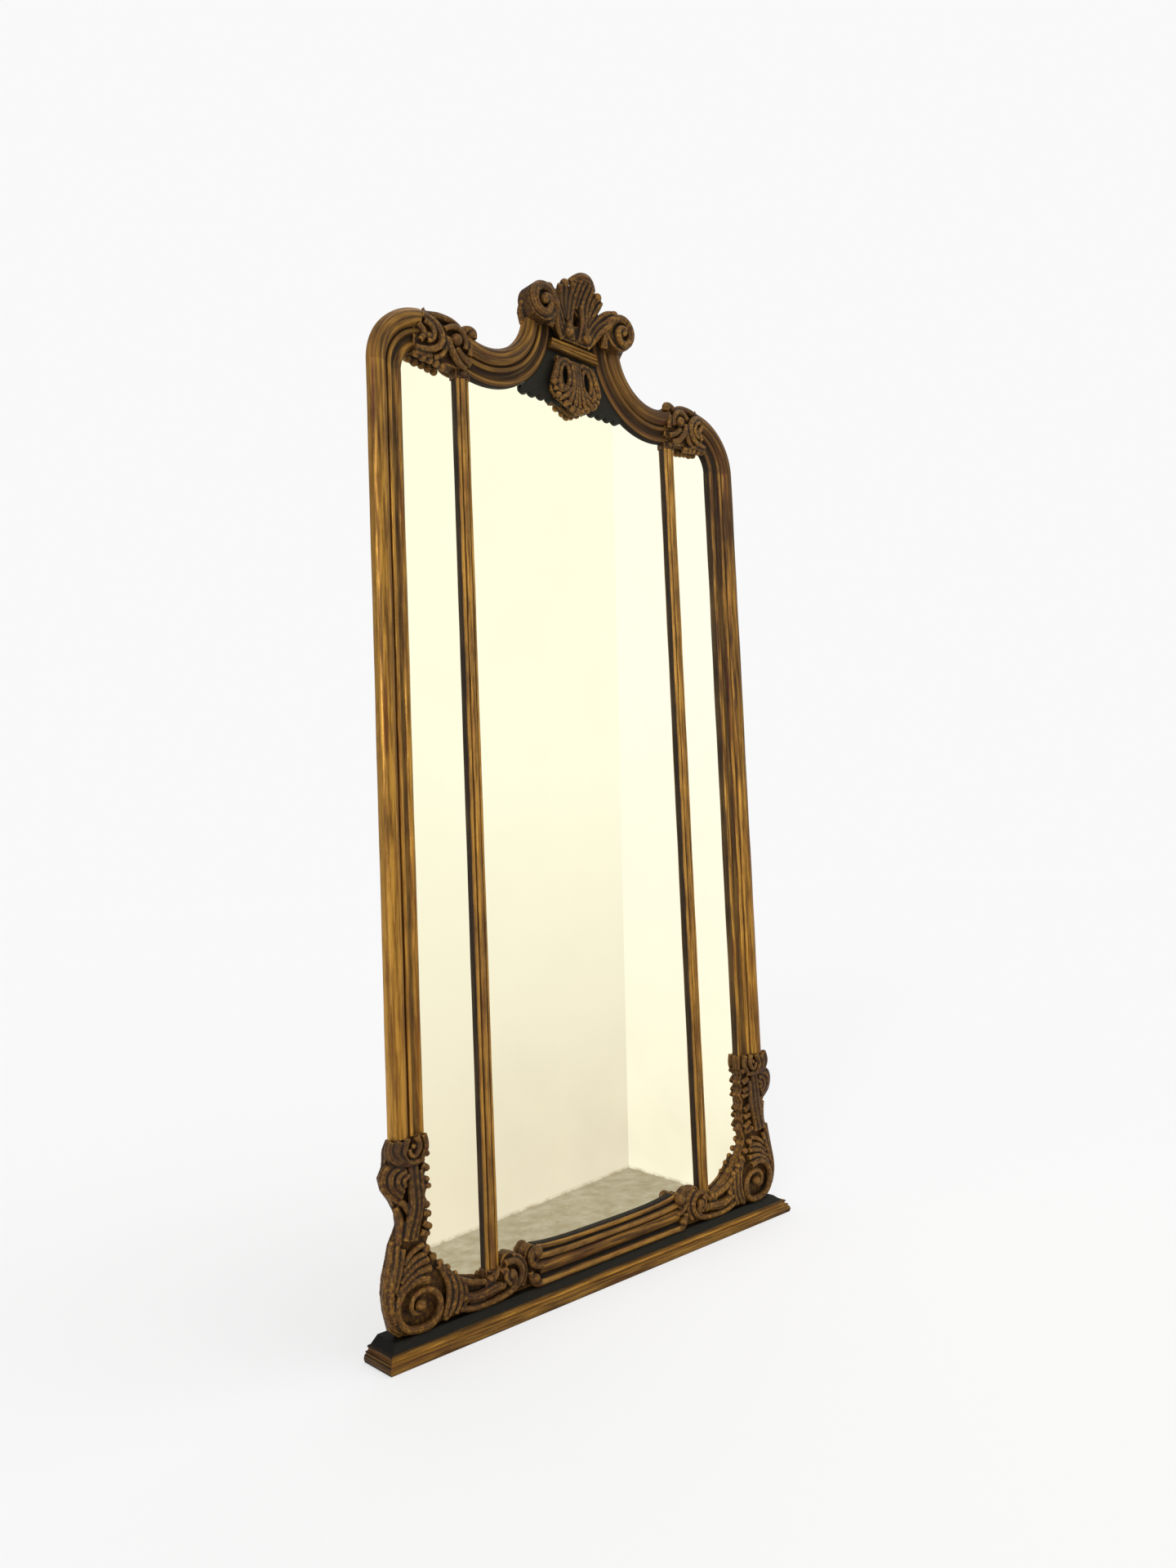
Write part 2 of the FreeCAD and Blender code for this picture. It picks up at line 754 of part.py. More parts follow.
def neck_zone():
    """Cylinders of the two necks with clearance, cut from what stands between them."""
    r = size("neck_round") + size("mould_wide") + GAP
    return [through_hole(side * size("neck_x"), size("neck_z"), r) for side in (-1, 1)]


def reeded_bar():
    """Short bar of reeds between the two necks, below the shell."""
    tall = size("reed_tall")
    low = size("reed_z") - tall / 2
    back = GLASS - size("panel_thick")
    face = back - size("reed_face")
    reed = tall / REED_COUNT
    valley = face + reed * 0.4
    steps = [(valley, low)]
    for i in range(REED_COUNT):
        steps.append((face, low + (i + 0.5) * reed, valley, low + (i + 1) * reed))
    steps.append((back, low + tall))
    half = size("neck_x")

    def plane(y, height):
        return V(-half, y, height)

    bar = wire_face((back, low), steps, plane).extrude(V(2 * half, 0, 0))
    for zone in neck_zone():
        bar = bar.cut(zone)
    solid_node("reeded_bar", bar)


def scallops(x_from, x_to, z, count, depth):
    """Arc steps for a scalloped edge from x_from to x_to at height z."""
    steps = []
    wide = (x_to - x_from) / count
    for i in range(count):
        steps.append((x_from + (i + 0.5) * wide, z - depth, x_from + (i + 1) * wide, z))
    return steps


def front_plane_at(depth):
    """Lays a front view's points into the model at one depth."""
    def plane(x, z):
        return V(x, depth, z)
    return plane


def crest_panel():
    """Ground panel between the necks: it carries bar, shell, pendant and rolls."""
    foot = size("panel_foot")
    neck_z = size("neck_z")
    half = size("neck_x") - size("neck_round") + size("panel_lap")
    steps = scallops(-half, half, foot, SCALLOP_COUNT, size("scallop_deep"))
    steps += shares((0, half, neck_z, size("crest_top") - size("panel_drop")), [
        (1.0, 0.0),
        (0.7, 0.9),
        (0.22, 1.0),
        (-0.22, 1.0),
        (-0.7, 0.9),
        (-1.0, 0.0),
    ])
    thick = V(0, -size("panel_thick"), 0)
    panel = wire_face((-half, foot), steps, front_plane_at(GLASS)).extrude(thick)
    low = block(-FAR, FAR, -FAR, FAR, 0, neck_z + GAP)
    for zone in neck_zone():
        panel = panel.cut(zone.common(low))
    solid_node("crest_panel", max(panel.Solids, key=lambda s: s.Volume))


def drop_outline(x, z, wide, tall):
    """A teardrop, pointed below: start point and steps."""
    return (x, z - tall / 2), [
        (x + wide * 0.42, z - tall * 0.05, x + wide / 2, z + tall * 0.22),
        (x, z + tall / 2, x - wide / 2, z + tall * 0.22),
        (x - wide * 0.42, z - tall * 0.05, x, z - tall / 2),
    ]


def pendant():
    """Palmette below the bar with two drop-shaped holes and a small tip."""
    foot = size("pendant_foot")
    top = size("reed_z") - size("reed_tall") / 2 - size("pendant_gap")
    plane = front_plane_at(GLASS - size("panel_thick"))
    thick = V(0, -size("pendant_face"), 0)
    outline = shares((0, size("pendant_half"), foot, top), [
        (-0.303, 1.0),
        (-0.667, 0.931, -0.788, 0.687),
        (-0.848, 0.498, -1.0, 0.395),
        (-1.0, 0.24, -0.727, 0.206),
        (-0.606, 0.086, -0.303, 0.137),
        (-0.182, 0.017, 0.0, 0.0),
        (0.182, 0.017, 0.303, 0.137),
        (0.606, 0.086, 0.727, 0.206),
        (1.0, 0.24, 1.0, 0.395),
        (0.848, 0.498, 0.788, 0.687),
        (0.667, 0.931, 0.303, 1.0),
    ])
    shape = wire_face(outline[0], outline[1:], plane).extrude(thick)
    for side in (-1, 1):
        across = side * size("drop_x")
        start, steps = drop_outline(across, size("drop_z"), size("drop_wide"), size("drop_tall"))
        shape = shape.cut(wire_face(start, steps, plane).extrude(thick))
    for zone in neck_zone():
        shape = shape.cut(zone)
    solid_node("pendant", max(shape.Solids, key=lambda s: s.Volume))


def lobe(outline, front, head):
    """One leaf of the shell: a front outline given the depth of a side profile that curls forward."""
    back = GLASS - size("panel_thick")
    low = shell_foot()
    curl = size("shell_curl")
    root = back - size("shell_root")
    over = head + GAP
    profile = [
        (back, over),
        (front + curl, over),
        (front + 0.293 * curl, over - 0.293 * curl, front, over - curl),
        (front, over - 1.6 * curl),
        (front + 0.2 * curl, over - 2.1 * curl, front + 0.7 * curl, over - 2.4 * curl),
        (root, low + curl),
        (root, low),
    ]

    def side_plane(y, z):
        return V(-FAR / 2, y, z)

    slab = wire_face((back, low), profile, side_plane).extrude(V(FAR, 0, 0))
    petal = wire_face(outline[0], outline[1:], front_plane_at(back)).extrude(V(0, front - back - curl, 0))
    return petal.common(slab)


def shell_foot():
    """The height at which the shell stands on the reeded bar."""
    return size("reed_z") + size("reed_tall") / 2 + GAP


def crest_shell():
    """Shell of five leaf lobes that lean forward over the bar."""
    back = GLASS - size("panel_thick")
    low = shell_foot()
    top = size("crest_top")
    deep = back + size("half_depth")
    reach = size("roll_x") - size("roll_groove")
    box = (0, reach, low, top)
    middle = shares(box, [(-0.2, 0.0), (0.2, 0.0), (0.36, 0.72), (0.0, 1.0, -0.36, 0.72)])
    shape = lobe(middle, back - deep, top)
    for side in (-1, 1):
        turned = (0, side * reach, low, top)
        second = shares(turned, [(0.0, 0.0), (0.24, 0.0), (0.42, 0.3), (0.62, 0.68), (0.5, 0.86, 0.16, 0.76)])
        third = shares(turned, [(0.1, 0.0), (0.24, 0.0), (0.5, 0.2), (1.0, 0.5), (0.88, 0.68, 0.4, 0.6)])
        shape = shape.fuse(lobe(second, back - 0.78 * deep, low + 0.88 * (top - low)))
        shape = shape.fuse(lobe(third, back - 0.66 * deep, low + 0.7 * (top - low)))
    for side in (-1, 1):
        room = through_hole(side * size("roll_x"), size("roll_z"), size("roll_round") + GAP)
        shape = shape.cut(room)
    below = block(-FAR, FAR, -FAR, FAR, 0, size("neck_z"))
    for zone in neck_zone():
        shape = shape.cut(zone.common(below))
    solid_node("crest_shell", max(shape.Solids, key=lambda s: s.Volume))


# ---- panes, boards, carcass ----

def panes():
    """Three mirror panes and the thin boards behind them."""
    centre = "2 * sizes.bar_x - sizes.pane_gap"
    side_out = "sizes.frame_half - sizes.mould_wide + sizes.rebate_wide - 2 * sizes.fit_gap"
    side_w = "(%s) - sizes.bar_x - sizes.pane_gap / 2" % side_out
    tall = "sizes.pane_head - sizes.pane_foot"
    layers = (("glass", "sizes.glass_thick", BOARD_X), ("backboard", "sizes.board_thick", CARCASS_X))
    for kind, thick, back in layers:
        board("centre_" + kind, centre, tall, thick, "0", back, "sizes.pane_foot")
        for side, name in ((-1, "left"), (1, "right")):
            x = "%d * (sizes.bar_x + sizes.pane_gap / 2 + (%s) / 2)" % (side, side_w)
            board("%s_%s" % (name, kind), side_w, tall, thick, x, back, "sizes.pane_foot")


def holes(body, label, spots, diameter, length, reverse=False, offset=0.0):
    """Round holes along the depth: spots are (x, z) in the body's own frame."""
    sketch = new_sketch(body, "XZ_Plane", label)
    for x, z in spots:
        sketch.addGeometry(Part.Circle(V(x, z, 0), V(0, 0, 1), diameter / 2), False)
    sketch.AttachmentOffset = forward(offset)
    pocket_of(body, sketch, length, label + "_cut", reverse)


def carcass():
    """Battens behind the front: two stiles, three rails and the batten behind the crest."""
    wide = "sizes.batten_wide"
    thick = "sizes.carcass_thick"
    foot = "sizes.plinth_tall"
    head = "sizes.carcass_head"
    tall = "sizes.carcass_head - sizes.plinth_tall"
    inner = "2 * (sizes.batten_reach - sizes.batten_wide)"
    for side, name in ((-1, "left"), (1, "right")):
        x = "%d * (sizes.batten_reach - sizes.batten_wide / 2)" % side
        board("carcass_%s_stile" % name, wide, tall, thick, x, BACK_X, foot)
    board("carcass_bottom_rail", inner, wide, thick, "0", BACK_X, foot)
    board("carcass_middle_rail", inner, wide, thick, "0", BACK_X, "sizes.middle_z")
    board("carcass_top_rail", inner, wide, thick, "0", BACK_X, "(%s) - sizes.batten_wide" % head)
    rise = "sizes.crest_top - sizes.crest_batten_drop - (%s)" % head
    deep = "sizes.half_depth - (%s)" % GLASS_X
    board("crest_batten", "sizes.crest_batten_wide", rise, deep, "0", BACK_X, head)


# ---- fixings ----

def pan_screws(label, x, spots, length, head_depth):
    """Screws driven from the back; their heads sit in counterbores."""
    shank = size("screw_shank") / 2
    head = size("screw_head") / 2
    tall = size("screw_tall")
    tip_long = 2 * shank
    seat = BACK - head_depth
    solids = []
    for z in spots:
        stem = Part.makeCylinder(shank, length - tip_long, V(x, seat, z), V(0, -1, 0))
        tip = Part.makeCone(shank, shank / 4, tip_long, V(x, seat - length + tip_long, z), V(0, -1, 0))
        cap = Part.makeCylinder(head, tall, V(x, seat, z), V(0, 1, 0))
        cap = cap.makeFillet(tall / 3, [cap.Edges[0]])
        slot = block(x - head, x + head, seat + 0.6 * tall, seat + 2 * tall, z - shank / 4, z + shank / 4)
        solids.append(stem.fuse([tip, cap]).removeSplitter().cut(slot))
    solid_node(label, Part.makeCompound(solids))


def fixings():
    """Screws through the stile battens into the moulding, and the two hanging plates."""
    x_mid = size("batten_reach") - size("batten_wide") / 2
    first = size("screw_low")
    step = (size("screw_high") - first) / (SCREW_COUNT - 1)
    spots = [first + i * step for i in range(SCREW_COUNT)]
    shank = size("screw_shank") + 2 * GAP
    head = size("screw_head") + 2 * GAP
    batten_mid = (FLOOR + size("carcass_head")) / 2
    pilot = "sizes.screw_long - sizes.carcass_thick + 3 * sizes.fit_gap"
    for side, name in ((-1, "left"), (1, "right")):
        stile_body = doc.getObject(name + "_stile")
        in_stile = [(side * x_mid, z - size("leaf_top")) for z in spots]
        holes(stile_body, name + "_stile_pilots", in_stile, shank, pilot, True, -CARCASS)
        batten = doc.getObject("carcass_%s_stile" % name)
        own = [(0.0, z - batten_mid) for z in spots]
        holes(batten, "carcass_%s_shanks" % name, own, shank, "sizes.carcass_thick", True)
        holes(batten, "carcass_%s_heads" % name, own, head, "sizes.screw_sink", True)
        pan_screws(name + "_frame_screws", side * x_mid, spots, size("screw_long") - size("screw_sink"),
                   size("screw_sink"))
        hanging_plate(side, name, batten, x_mid, batten_mid)


def hanging_plate(side, name, batten, x_mid, batten_mid):
    """Steel plate let into the back of the batten; a wall screw's head goes in the pocket behind its hole."""
    up = size("plate_z")
    mid = up - batten_mid
    shank = size("screw_shank") + 2 * GAP
    recess = new_sketch(batten, "XZ_Plane", "carcass_%s_recess" % name)
    wide = size("plate_wide") / 2 + GAP
    tall = size("plate_tall") / 2 + GAP
    draw(recess, (-wide, mid - tall), [(wide, mid - tall), (wide, mid + tall), (-wide, mid + tall)])
    pocket_of(batten, recess, "sizes.plate_thick", "recess", True)
    holes(batten, "carcass_%s_pocket" % name, [(0.0, mid)], size("hang_pocket"),
          "sizes.carcass_thick - sizes.plate_thick", True)
    end = size("plate_tall") / 2 - size("plate_screw_in")
    ends = [(0.0, -end), (0.0, end)]
    holes(batten, "carcass_%s_plate_pilots" % name, [(0.0, mid + z) for x, z in ends], shank,
          "sizes.plate_screw_long + sizes.fit_gap", True)
    plate = board(name + "_hanging_plate", "sizes.plate_wide", "sizes.plate_tall", "sizes.plate_thick",
                  "%d * (sizes.batten_reach - sizes.batten_wide / 2)" % side, BACK_X,
                  "sizes.plate_z - sizes.plate_tall / 2")
    holes(plate, name + "_plate_hole", [(0.0, 0.0)], size("hang_hole"), "sizes.plate_thick", True)
    holes(plate, name + "_plate_screw_holes", ends, shank, "sizes.plate_thick", True)
    holes(plate, name + "_plate_sinks", ends, size("screw_head") + 2 * GAP, "sizes.screw_tall", True)
    pan_screws(name + "_plate_screws", side * x_mid, [up + z for x, z in ends],
               size("plate_screw_long") - size("screw_tall"), size("screw_tall"))


# ---- build ----

plinth()
bottom_rail()
rail_curls()
for side, name in ((-1, "left"), (1, "right")):
    stile(side, name)
    corner(side, name)
    neck(side, name)
    volute(side, name)
    stile_leaf(side, name)
    foot_scroll(side, name)
    glazing_bar(side, name)
    clasp(side, name)
    roll(side, name)
reeded_bar()
crest_panel()
pendant()
crest_shell()
panes()
carcass()
doc.recompute()
fixings()
doc.recompute()

faults = []
for node in NODES:
    if "Invalid" in node.State or "Error" in node.State:
        faults.append("%s did not build: %s" % (node.Label, node.State))
    elif node.Shape.isNull() or not node.Shape.isValid() or not node.Shape.Solids:
        faults.append("%s has no valid solid" % node.Label)
if faults:
    raise RuntimeError("; ".join(faults))
for node in NODES:
    node.Shape.exportStep("parts/%s.step" % node.Label)
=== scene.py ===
import math

import bmesh
import bpy
import numpy as np
from mathutils import Matrix, Vector


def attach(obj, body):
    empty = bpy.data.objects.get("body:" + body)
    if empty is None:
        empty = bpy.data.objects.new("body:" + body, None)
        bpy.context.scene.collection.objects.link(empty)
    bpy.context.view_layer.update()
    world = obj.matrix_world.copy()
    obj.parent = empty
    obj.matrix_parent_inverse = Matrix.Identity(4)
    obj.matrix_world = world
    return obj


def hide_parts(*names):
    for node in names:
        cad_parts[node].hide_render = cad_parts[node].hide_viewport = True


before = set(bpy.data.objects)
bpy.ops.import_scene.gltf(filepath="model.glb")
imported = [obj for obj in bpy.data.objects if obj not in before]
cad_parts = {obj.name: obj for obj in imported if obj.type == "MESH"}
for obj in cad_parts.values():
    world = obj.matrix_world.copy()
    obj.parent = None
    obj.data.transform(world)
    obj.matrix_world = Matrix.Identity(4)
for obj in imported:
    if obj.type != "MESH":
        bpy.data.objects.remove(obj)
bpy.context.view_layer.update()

# Tall standing mirror in three panes, gilded and carved. Lengths in this script are millimetres and become
# metres when a piece is finished. a is the distance from the middle, so one list serves both sides.
MM = 0.001
SIDES = ((-1, "left"), (1, "right"))

# Depth stations and main sizes, as in the frame.
CARCASS = 28.0
GLASS = 18.0
FLOOR = 36.0
FRAME_HALF = 478.0
SHOULDER = 1762.0
CORNER_ROUND = 122.0
MOULD_WIDE = 70.0
BEVEL_WIDE = 13.0
NECK_X = 225.0
NECK_Z = 1835.0
NECK_ROUND = 98.0
LEAF_TOP = 345.0
VOLUTE_TOP = 186.0
SCROLL_START = 386.0
RAIL_END = 207.0
RAIL_HALF = 182.0
BAR_X = 277.0
BAR_FOOT = 70.0
CLASP_LEFT = 385.0
CLASP_RIGHT = 260.0

# Making: the carvings' remeshing step, and the edge angle in degrees that stays sharp on mouldings.
VOXEL = 1.3
MOULD_ANGLE = 32

# Light: how bright the background reads, the sky's strength for dull and for shiny surfaces, the floor's
# own tone,
# and the suns as (direction towards it, strength, width in degrees).
BACKGROUND = 0.947
SKY = 0.55
SKY_IN_GOLD = 0.30
FLOOR_TONE = 0.35
SUNS = ((Vector((0.35, -0.14, 0.92)).normalized(), 1.5, 70),
        (Vector((-0.8, -0.5, 0.3)).normalized(), 1.1, 20))


# ---------------------------------------------------------------- node helpers

def new_group(name, inputs, outputs):
    """An empty shader node group with named sockets: inputs are (name, kind, default)."""
    group = bpy.data.node_groups.new(name, "ShaderNodeTree")
    for label, kind, value in inputs:
        socket = group.interface.new_socket(label, in_out="INPUT", socket_type="NodeSocket" + kind)
        socket.default_value = value
    for label, kind in outputs:
        group.interface.new_socket(label, in_out="OUTPUT", socket_type="NodeSocket" + kind)
    return group


class Net:
    """Short hands for building a node tree."""

    def __init__(self, tree):
        self.tree = tree

    def node(self, kind, **settings):
        made = self.tree.nodes.new(kind)
        for key, value in settings.items():
            setattr(made, key, value)
        return made

    def feed(self, value, socket):
        if isinstance(value, bpy.types.NodeSocket):
            self.tree.links.new(value, socket)
        else:
            socket.default_value = value

    def math(self, operation, a, b=0.5, clamp=False):
        made = self.node("ShaderNodeMath", operation=operation, use_clamp=clamp)
        self.feed(a, made.inputs[0])
        self.feed(b, made.inputs[1])
        return made.outputs[0]

    def mix(self, share, first, second, blend="MIX"):
        made = self.node("ShaderNodeMix", data_type="RGBA", blend_type=blend)
        self.feed(share, made.inputs["Factor"])
        self.feed(first, made.inputs["A"])
        self.feed(second, made.inputs["B"])
        return made.outputs["Result"]

    def spread(self, value, low, high, to_low=0.0, to_high=1.0):
        made = self.node("ShaderNodeMapRange", clamp=True)
        for socket, v in zip(made.inputs, (value, low, high, to_low, to_high)):
            self.feed(v, socket)
        return made.outputs[0]

    def half_shift(self, where):
        """A shift that differs between the left and the right half."""
        parts = self.node("ShaderNodeSeparateXYZ")
        self.feed(where, parts.inputs["Vector"])
        made = self.node("ShaderNodeCombineXYZ")
        self.feed(self.math("GREATER_THAN", parts.outputs["X"], 0.0), made.inputs["X"])
        return made.outputs["Vector"]

    def noise(self, vector, scale, detail=3.0, rough=0.55, distortion=0.0):
        made = self.node("ShaderNodeTexNoise")
        self.feed(vector, made.inputs["Vector"])
        self.feed(scale, made.inputs["Scale"])
        self.feed(detail, made.inputs["Detail"])
        self.feed(rough, made.inputs["Roughness"])
        self.feed(distortion, made.inputs["Distortion"])
        return made.outputs["Fac"]

    def stretched(self, vector, scale):
        made = self.node("ShaderNodeMapping")
        self.feed(vector, made.inputs["Vector"])
        made.inputs["Scale"].default_value = scale
        return made.outputs["Vector"]

    def use(self, group, **inputs):
        made = self.node("ShaderNodeGroup")
        made.node_tree = group
        for key, value in inputs.items():
            self.feed(value, made.inputs[key.replace("_", " ")])
        return made


def rgb(red, green, blue):
    """A colour given as it looks on screen, 0 to 255, as linear values."""
    def linear(v):
        v = v / 255
        return v / 12.92 if v <= 0.04045 else ((v + 0.055) / 1.055) ** 2.4
    return (linear(red), linear(green), linear(blue), 1.0)


def old_gilding_group():
    """Bronze-gold leaf over red bole and brown paint, worn in streaks along the run of the moulding. Hollows
    are darkened, partly for soiling and partly as painted shade; ridges are lightened, partly for worn gold
    and partly as painted highlight.
    """
    group = new_group("old gilding", [
        ("Vector", "Vector", (0, 0, 0)), ("Along", "Vector", (0, 0, 0)), ("Hollow", "Float", 0.5),
        ("Dirt and shade", "Float", 0.5), ("Gold", "Float", 0.5)],
        [("Color", "Color"), ("Roughness", "Float"), ("Metallic", "Float"), ("Height", "Float")])
    net = Net(group)
    put_in = net.node("NodeGroupInput")
    put_out = net.node("NodeGroupOutput")
    where, along = put_in.outputs["Vector"], put_in.outputs["Along"]
    hollow, dirt_and_shade, gold = (put_in.outputs[n] for n in ("Hollow", "Dirt and shade", "Gold"))
    broad = net.noise(where, 5.0, 3.0)
    streak = net.noise(along, 170.0, 5.0, 0.62)
    fine = net.noise(where, 420.0, 3.0, 0.6)
    rub = net.math("ADD", net.math("MULTIPLY", broad, 0.35), net.math("MULTIPLY", streak, 0.65))
    lift = net.math("ADD", rub, net.math("MULTIPLY", net.math("SUBTRACT", gold, 0.5), 0.5))
    ground = net.mix(net.spread(rub, 0.42, 0.58), rgb(62, 38, 18), rgb(106, 72, 30))
    leaf = net.mix(net.spread(streak, 0.42, 0.6), rgb(138, 96, 40), rgb(186, 138, 62))
    shown = net.spread(lift, 0.38, 0.66)
    colour = net.mix(shown, ground, leaf)
    bole = net.math("MULTIPLY", net.spread(net.noise(along, 110.0, 4.0), 0.54, 0.64), 0.5)
    colour = net.mix(bole, colour, rgb(88, 36, 24))
    # Painted shade and soiling: flats darker than ridges, led by the hollow value.
    flat = net.math("MULTIPLY", net.spread(hollow, 0.3, 0.52), net.math("MULTIPLY", dirt_and_shade, 0.6))
    patchy = net.spread(net.noise(where, 34.0, 4.0, 0.65), 0.3, 0.62, 0.35, 1.15)
    colour = net.mix(net.math("MULTIPLY", flat, patchy, True), colour, rgb(38, 26, 18))
    # Painted shade and soiling: near black deep in hollows.
    deep = net.spread(hollow, 0.48, 0.68)
    grime_and_shade = net.math("MULTIPLY", deep, net.math("ADD", dirt_and_shade, 0.45, True), True)
    colour = net.mix(grime_and_shade, colour, rgb(22, 16, 12))
    film = net.math("MULTIPLY", net.spread(net.noise(where, 22.0, 4.0, 0.7), 0.5, 0.72), dirt_and_shade)
    colour = net.mix(net.math("MULTIPLY", film, 0.5), colour, rgb(62, 46, 32))
    # Worn gold and painted highlight: ridges lighter.
    bare = net.math("MULTIPLY", net.spread(hollow, 0.44, 0.22), gold)
    colour = net.mix(net.math("MULTIPLY", bare, patchy, True), colour, rgb(186, 140, 70))
    rough = net.math("ADD", 0.34, net.math("MULTIPLY", net.math("SUBTRACT", 1.0, shown), 0.2))
    rough = net.math("ADD", rough, net.math("MULTIPLY", grime_and_shade, 0.25))
    metal = net.math("MULTIPLY", net.math("ADD", net.math("MULTIPLY", shown, 0.45), 0.3),
                     net.math("SUBTRACT", 1.0, grime_and_shade), True)
    height = net.math("ADD", net.math("MULTIPLY", streak, 0.6), net.math("MULTIPLY", fine, 0.4))
    for label, value in (("Color", colour), ("Roughness", rough), ("Metallic", metal), ("Height", height)):
        net.feed(value, put_out.inputs[label])
    return group


def chips_group():
    """Small losses where pale gesso shows through."""
    group = new_group("gesso chips", [("Vector", "Vector", (0, 0, 0)),
                                      ("Color", "Color", (0.5, 0.5, 0.5, 1)),
                                      ("Amount", "Float", 0.5)], [("Color", "Color"), ("Mask", "Float")])
    net = Net(group)
    put_in = net.node("NodeGroupInput")
    put_out = net.node("NodeGroupOutput")
    spots = net.noise(put_in.outputs["Vector"], 70.0, 5.0, 0.75)
    patches = net.noise(put_in.outputs["Vector"], 6.0, 1.0)
    edge = net.math("SUBTRACT", 0.86, net.math("MULTIPLY", put_in.outputs["Amount"], 0.12))
    edge = net.math("SUBTRACT", edge, net.math("MULTIPLY", net.spread(patches, 0.5, 0.7), 0.05))
    mask = net.spread(spots, edge, net.math("ADD", edge, 0.012))
    net.feed(net.mix(mask, put_in.outputs["Color"], rgb(214, 205, 184)), put_out.inputs["Color"])
    net.feed(mask, put_out.inputs["Mask"])
    return group


def wood_group():
    group = new_group("pine grain", [("Vector", "Vector", (0, 0, 0))],
                      [("Color", "Color"), ("Roughness", "Float"), ("Height", "Float")])
    net = Net(group)
    put_in = net.node("NodeGroupInput")
    put_out = net.node("NodeGroupOutput")
    where = put_in.outputs["Vector"]
    warp = net.noise(where, 2.0, 2.0)
    bands = net.math("MULTIPLY", net.noise(where, 14.0, 3.0, 0.6, 1.2), 6.0)
    ring = net.math("FRACT", net.math("ADD", bands, warp))
    fibre = net.noise(net.stretched(where, (8, 8, 1)), 60.0, 4.0, 0.7)
    colour = net.mix(net.spread(ring, 0.1, 0.9), rgb(142, 108, 70), rgb(118, 86, 54))
    colour = net.mix(net.math("MULTIPLY", net.spread(fibre, 0.45, 0.7), 0.5), colour, rgb(84, 60, 38))
    net.feed(colour, put_out.inputs["Color"])
    net.feed(net.spread(fibre, 0.0, 1.0, 0.6, 0.85), put_out.inputs["Roughness"])
    net.feed(fibre, put_out.inputs["Height"])
    return group


GILDING = old_gilding_group()
CHIPS = chips_group()
GRAIN = wood_group()


def new_material(name):
    material = bpy.data.materials.new(name)
    material.use_nodes = True
    net = Net(material.node_tree)
    shader = material.node_tree.nodes["Principled BSDF"]
    return material, net, shader


def add_bump(net, shader, height, strength, distance):
    bump = net.node("ShaderNodeBump")
    bump.inputs["Strength"].default_value = strength
    bump.inputs["Distance"].default_value = distance
    net.feed(height, bump.inputs["Height"])
    net.feed(bump.outputs["Normal"], shader.inputs["Normal"])


def gilt_material(name, run, dirt_and_shade, gold, hollow_attribute, chips=0.4, bump=0.5):
    """Gilding for one kind of piece. run stretches the streaks in x, y and z, or is "swept" where they
    follow the moulding by the piece's grain attribute."""
    material, net, shader = new_material(name)
    where = net.node("ShaderNodeTexCoord").outputs["Object"]
    if run == "swept":
        grain = net.node("ShaderNodeVectorMath", operation="ADD")
        net.feed(net.node("ShaderNodeAttribute", attribute_name="grain").outputs["Vector"], grain.inputs[0])
        net.feed(net.half_shift(where), grain.inputs[1])
        along = net.stretched(grain.outputs["Vector"], (1, 1, 0.05))
        parts = net.node("ShaderNodeSeparateXYZ")
        net.feed(where, parts.inputs["Vector"])
        # Painted light and shade: more gold lower down, less gold on the right half.
        right = net.math("MULTIPLY", net.math("GREATER_THAN", parts.outputs["X"], 0.0), 0.24)
        painted_light_low = net.spread(parts.outputs["Z"], 1.64, 0.7, 0.0, 0.34)
        gold = net.math("SUBTRACT", net.math("ADD", gold, painted_light_low), right)
    else:
        along = net.stretched(where, run)
    inputs = {"Vector": where, "Along": along, "Dirt and shade": dirt_and_shade, "Gold": gold}
    if hollow_attribute:
        inputs["Hollow"] = net.node("ShaderNodeAttribute", attribute_name="hollow").outputs["Fac"]
    else:
        inputs["Hollow"] = 0.45
    skin = net.use(GILDING, **inputs)
    chipped = net.use(CHIPS, Vector=where, Color=skin.outputs["Color"], Amount=chips)
    facing = net.node("ShaderNodeSeparateXYZ")
    net.feed(net.node("ShaderNodeNewGeometry").outputs["Normal"], facing.inputs["Vector"])
    bare_back = net.spread(facing.outputs["Y"], 0.75, 0.92)
    wood = net.mix(net.noise(net.stretched(where, (40, 40, 4)), 1.0), rgb(104, 78, 50), rgb(136, 104, 68))
    net.feed(net.mix(bare_back, chipped.outputs["Color"], wood), shader.inputs["Base Color"])
    net.feed(skin.outputs["Roughness"], shader.inputs["Roughness"])
    metal = net.math("MULTIPLY", skin.outputs["Metallic"],
                     net.math("SUBTRACT", 1.0, chipped.outputs["Mask"]))
    metal = net.math("MULTIPLY", metal, net.math("SUBTRACT", 1.0, bare_back))
    net.feed(metal, shader.inputs["Metallic"])
    shader.inputs["Specular IOR Level"].default_value = 0.2
    add_bump(net, shader, skin.outputs["Height"], bump, 0.0012)
    return material


def mirror_material():
    """Old silvered glass: a faint warm tint that varies a little in cloudy patches."""
    material, net, shader = new_material("silvered glass")
    where = net.node("ShaderNodeTexCoord").outputs["Object"]
    haze = net.noise(where, 7.0, 4.0, 0.6)
    net.feed(net.mix(net.spread(haze, 0.3, 0.7), (0.95, 0.94, 0.89, 1), (0.97, 0.96, 0.91, 1)),
             shader.inputs["Base Color"])
    shader.inputs["Roughness"].default_value = 0.0
    shader.inputs["Metallic"].default_value = 1.0
    return material


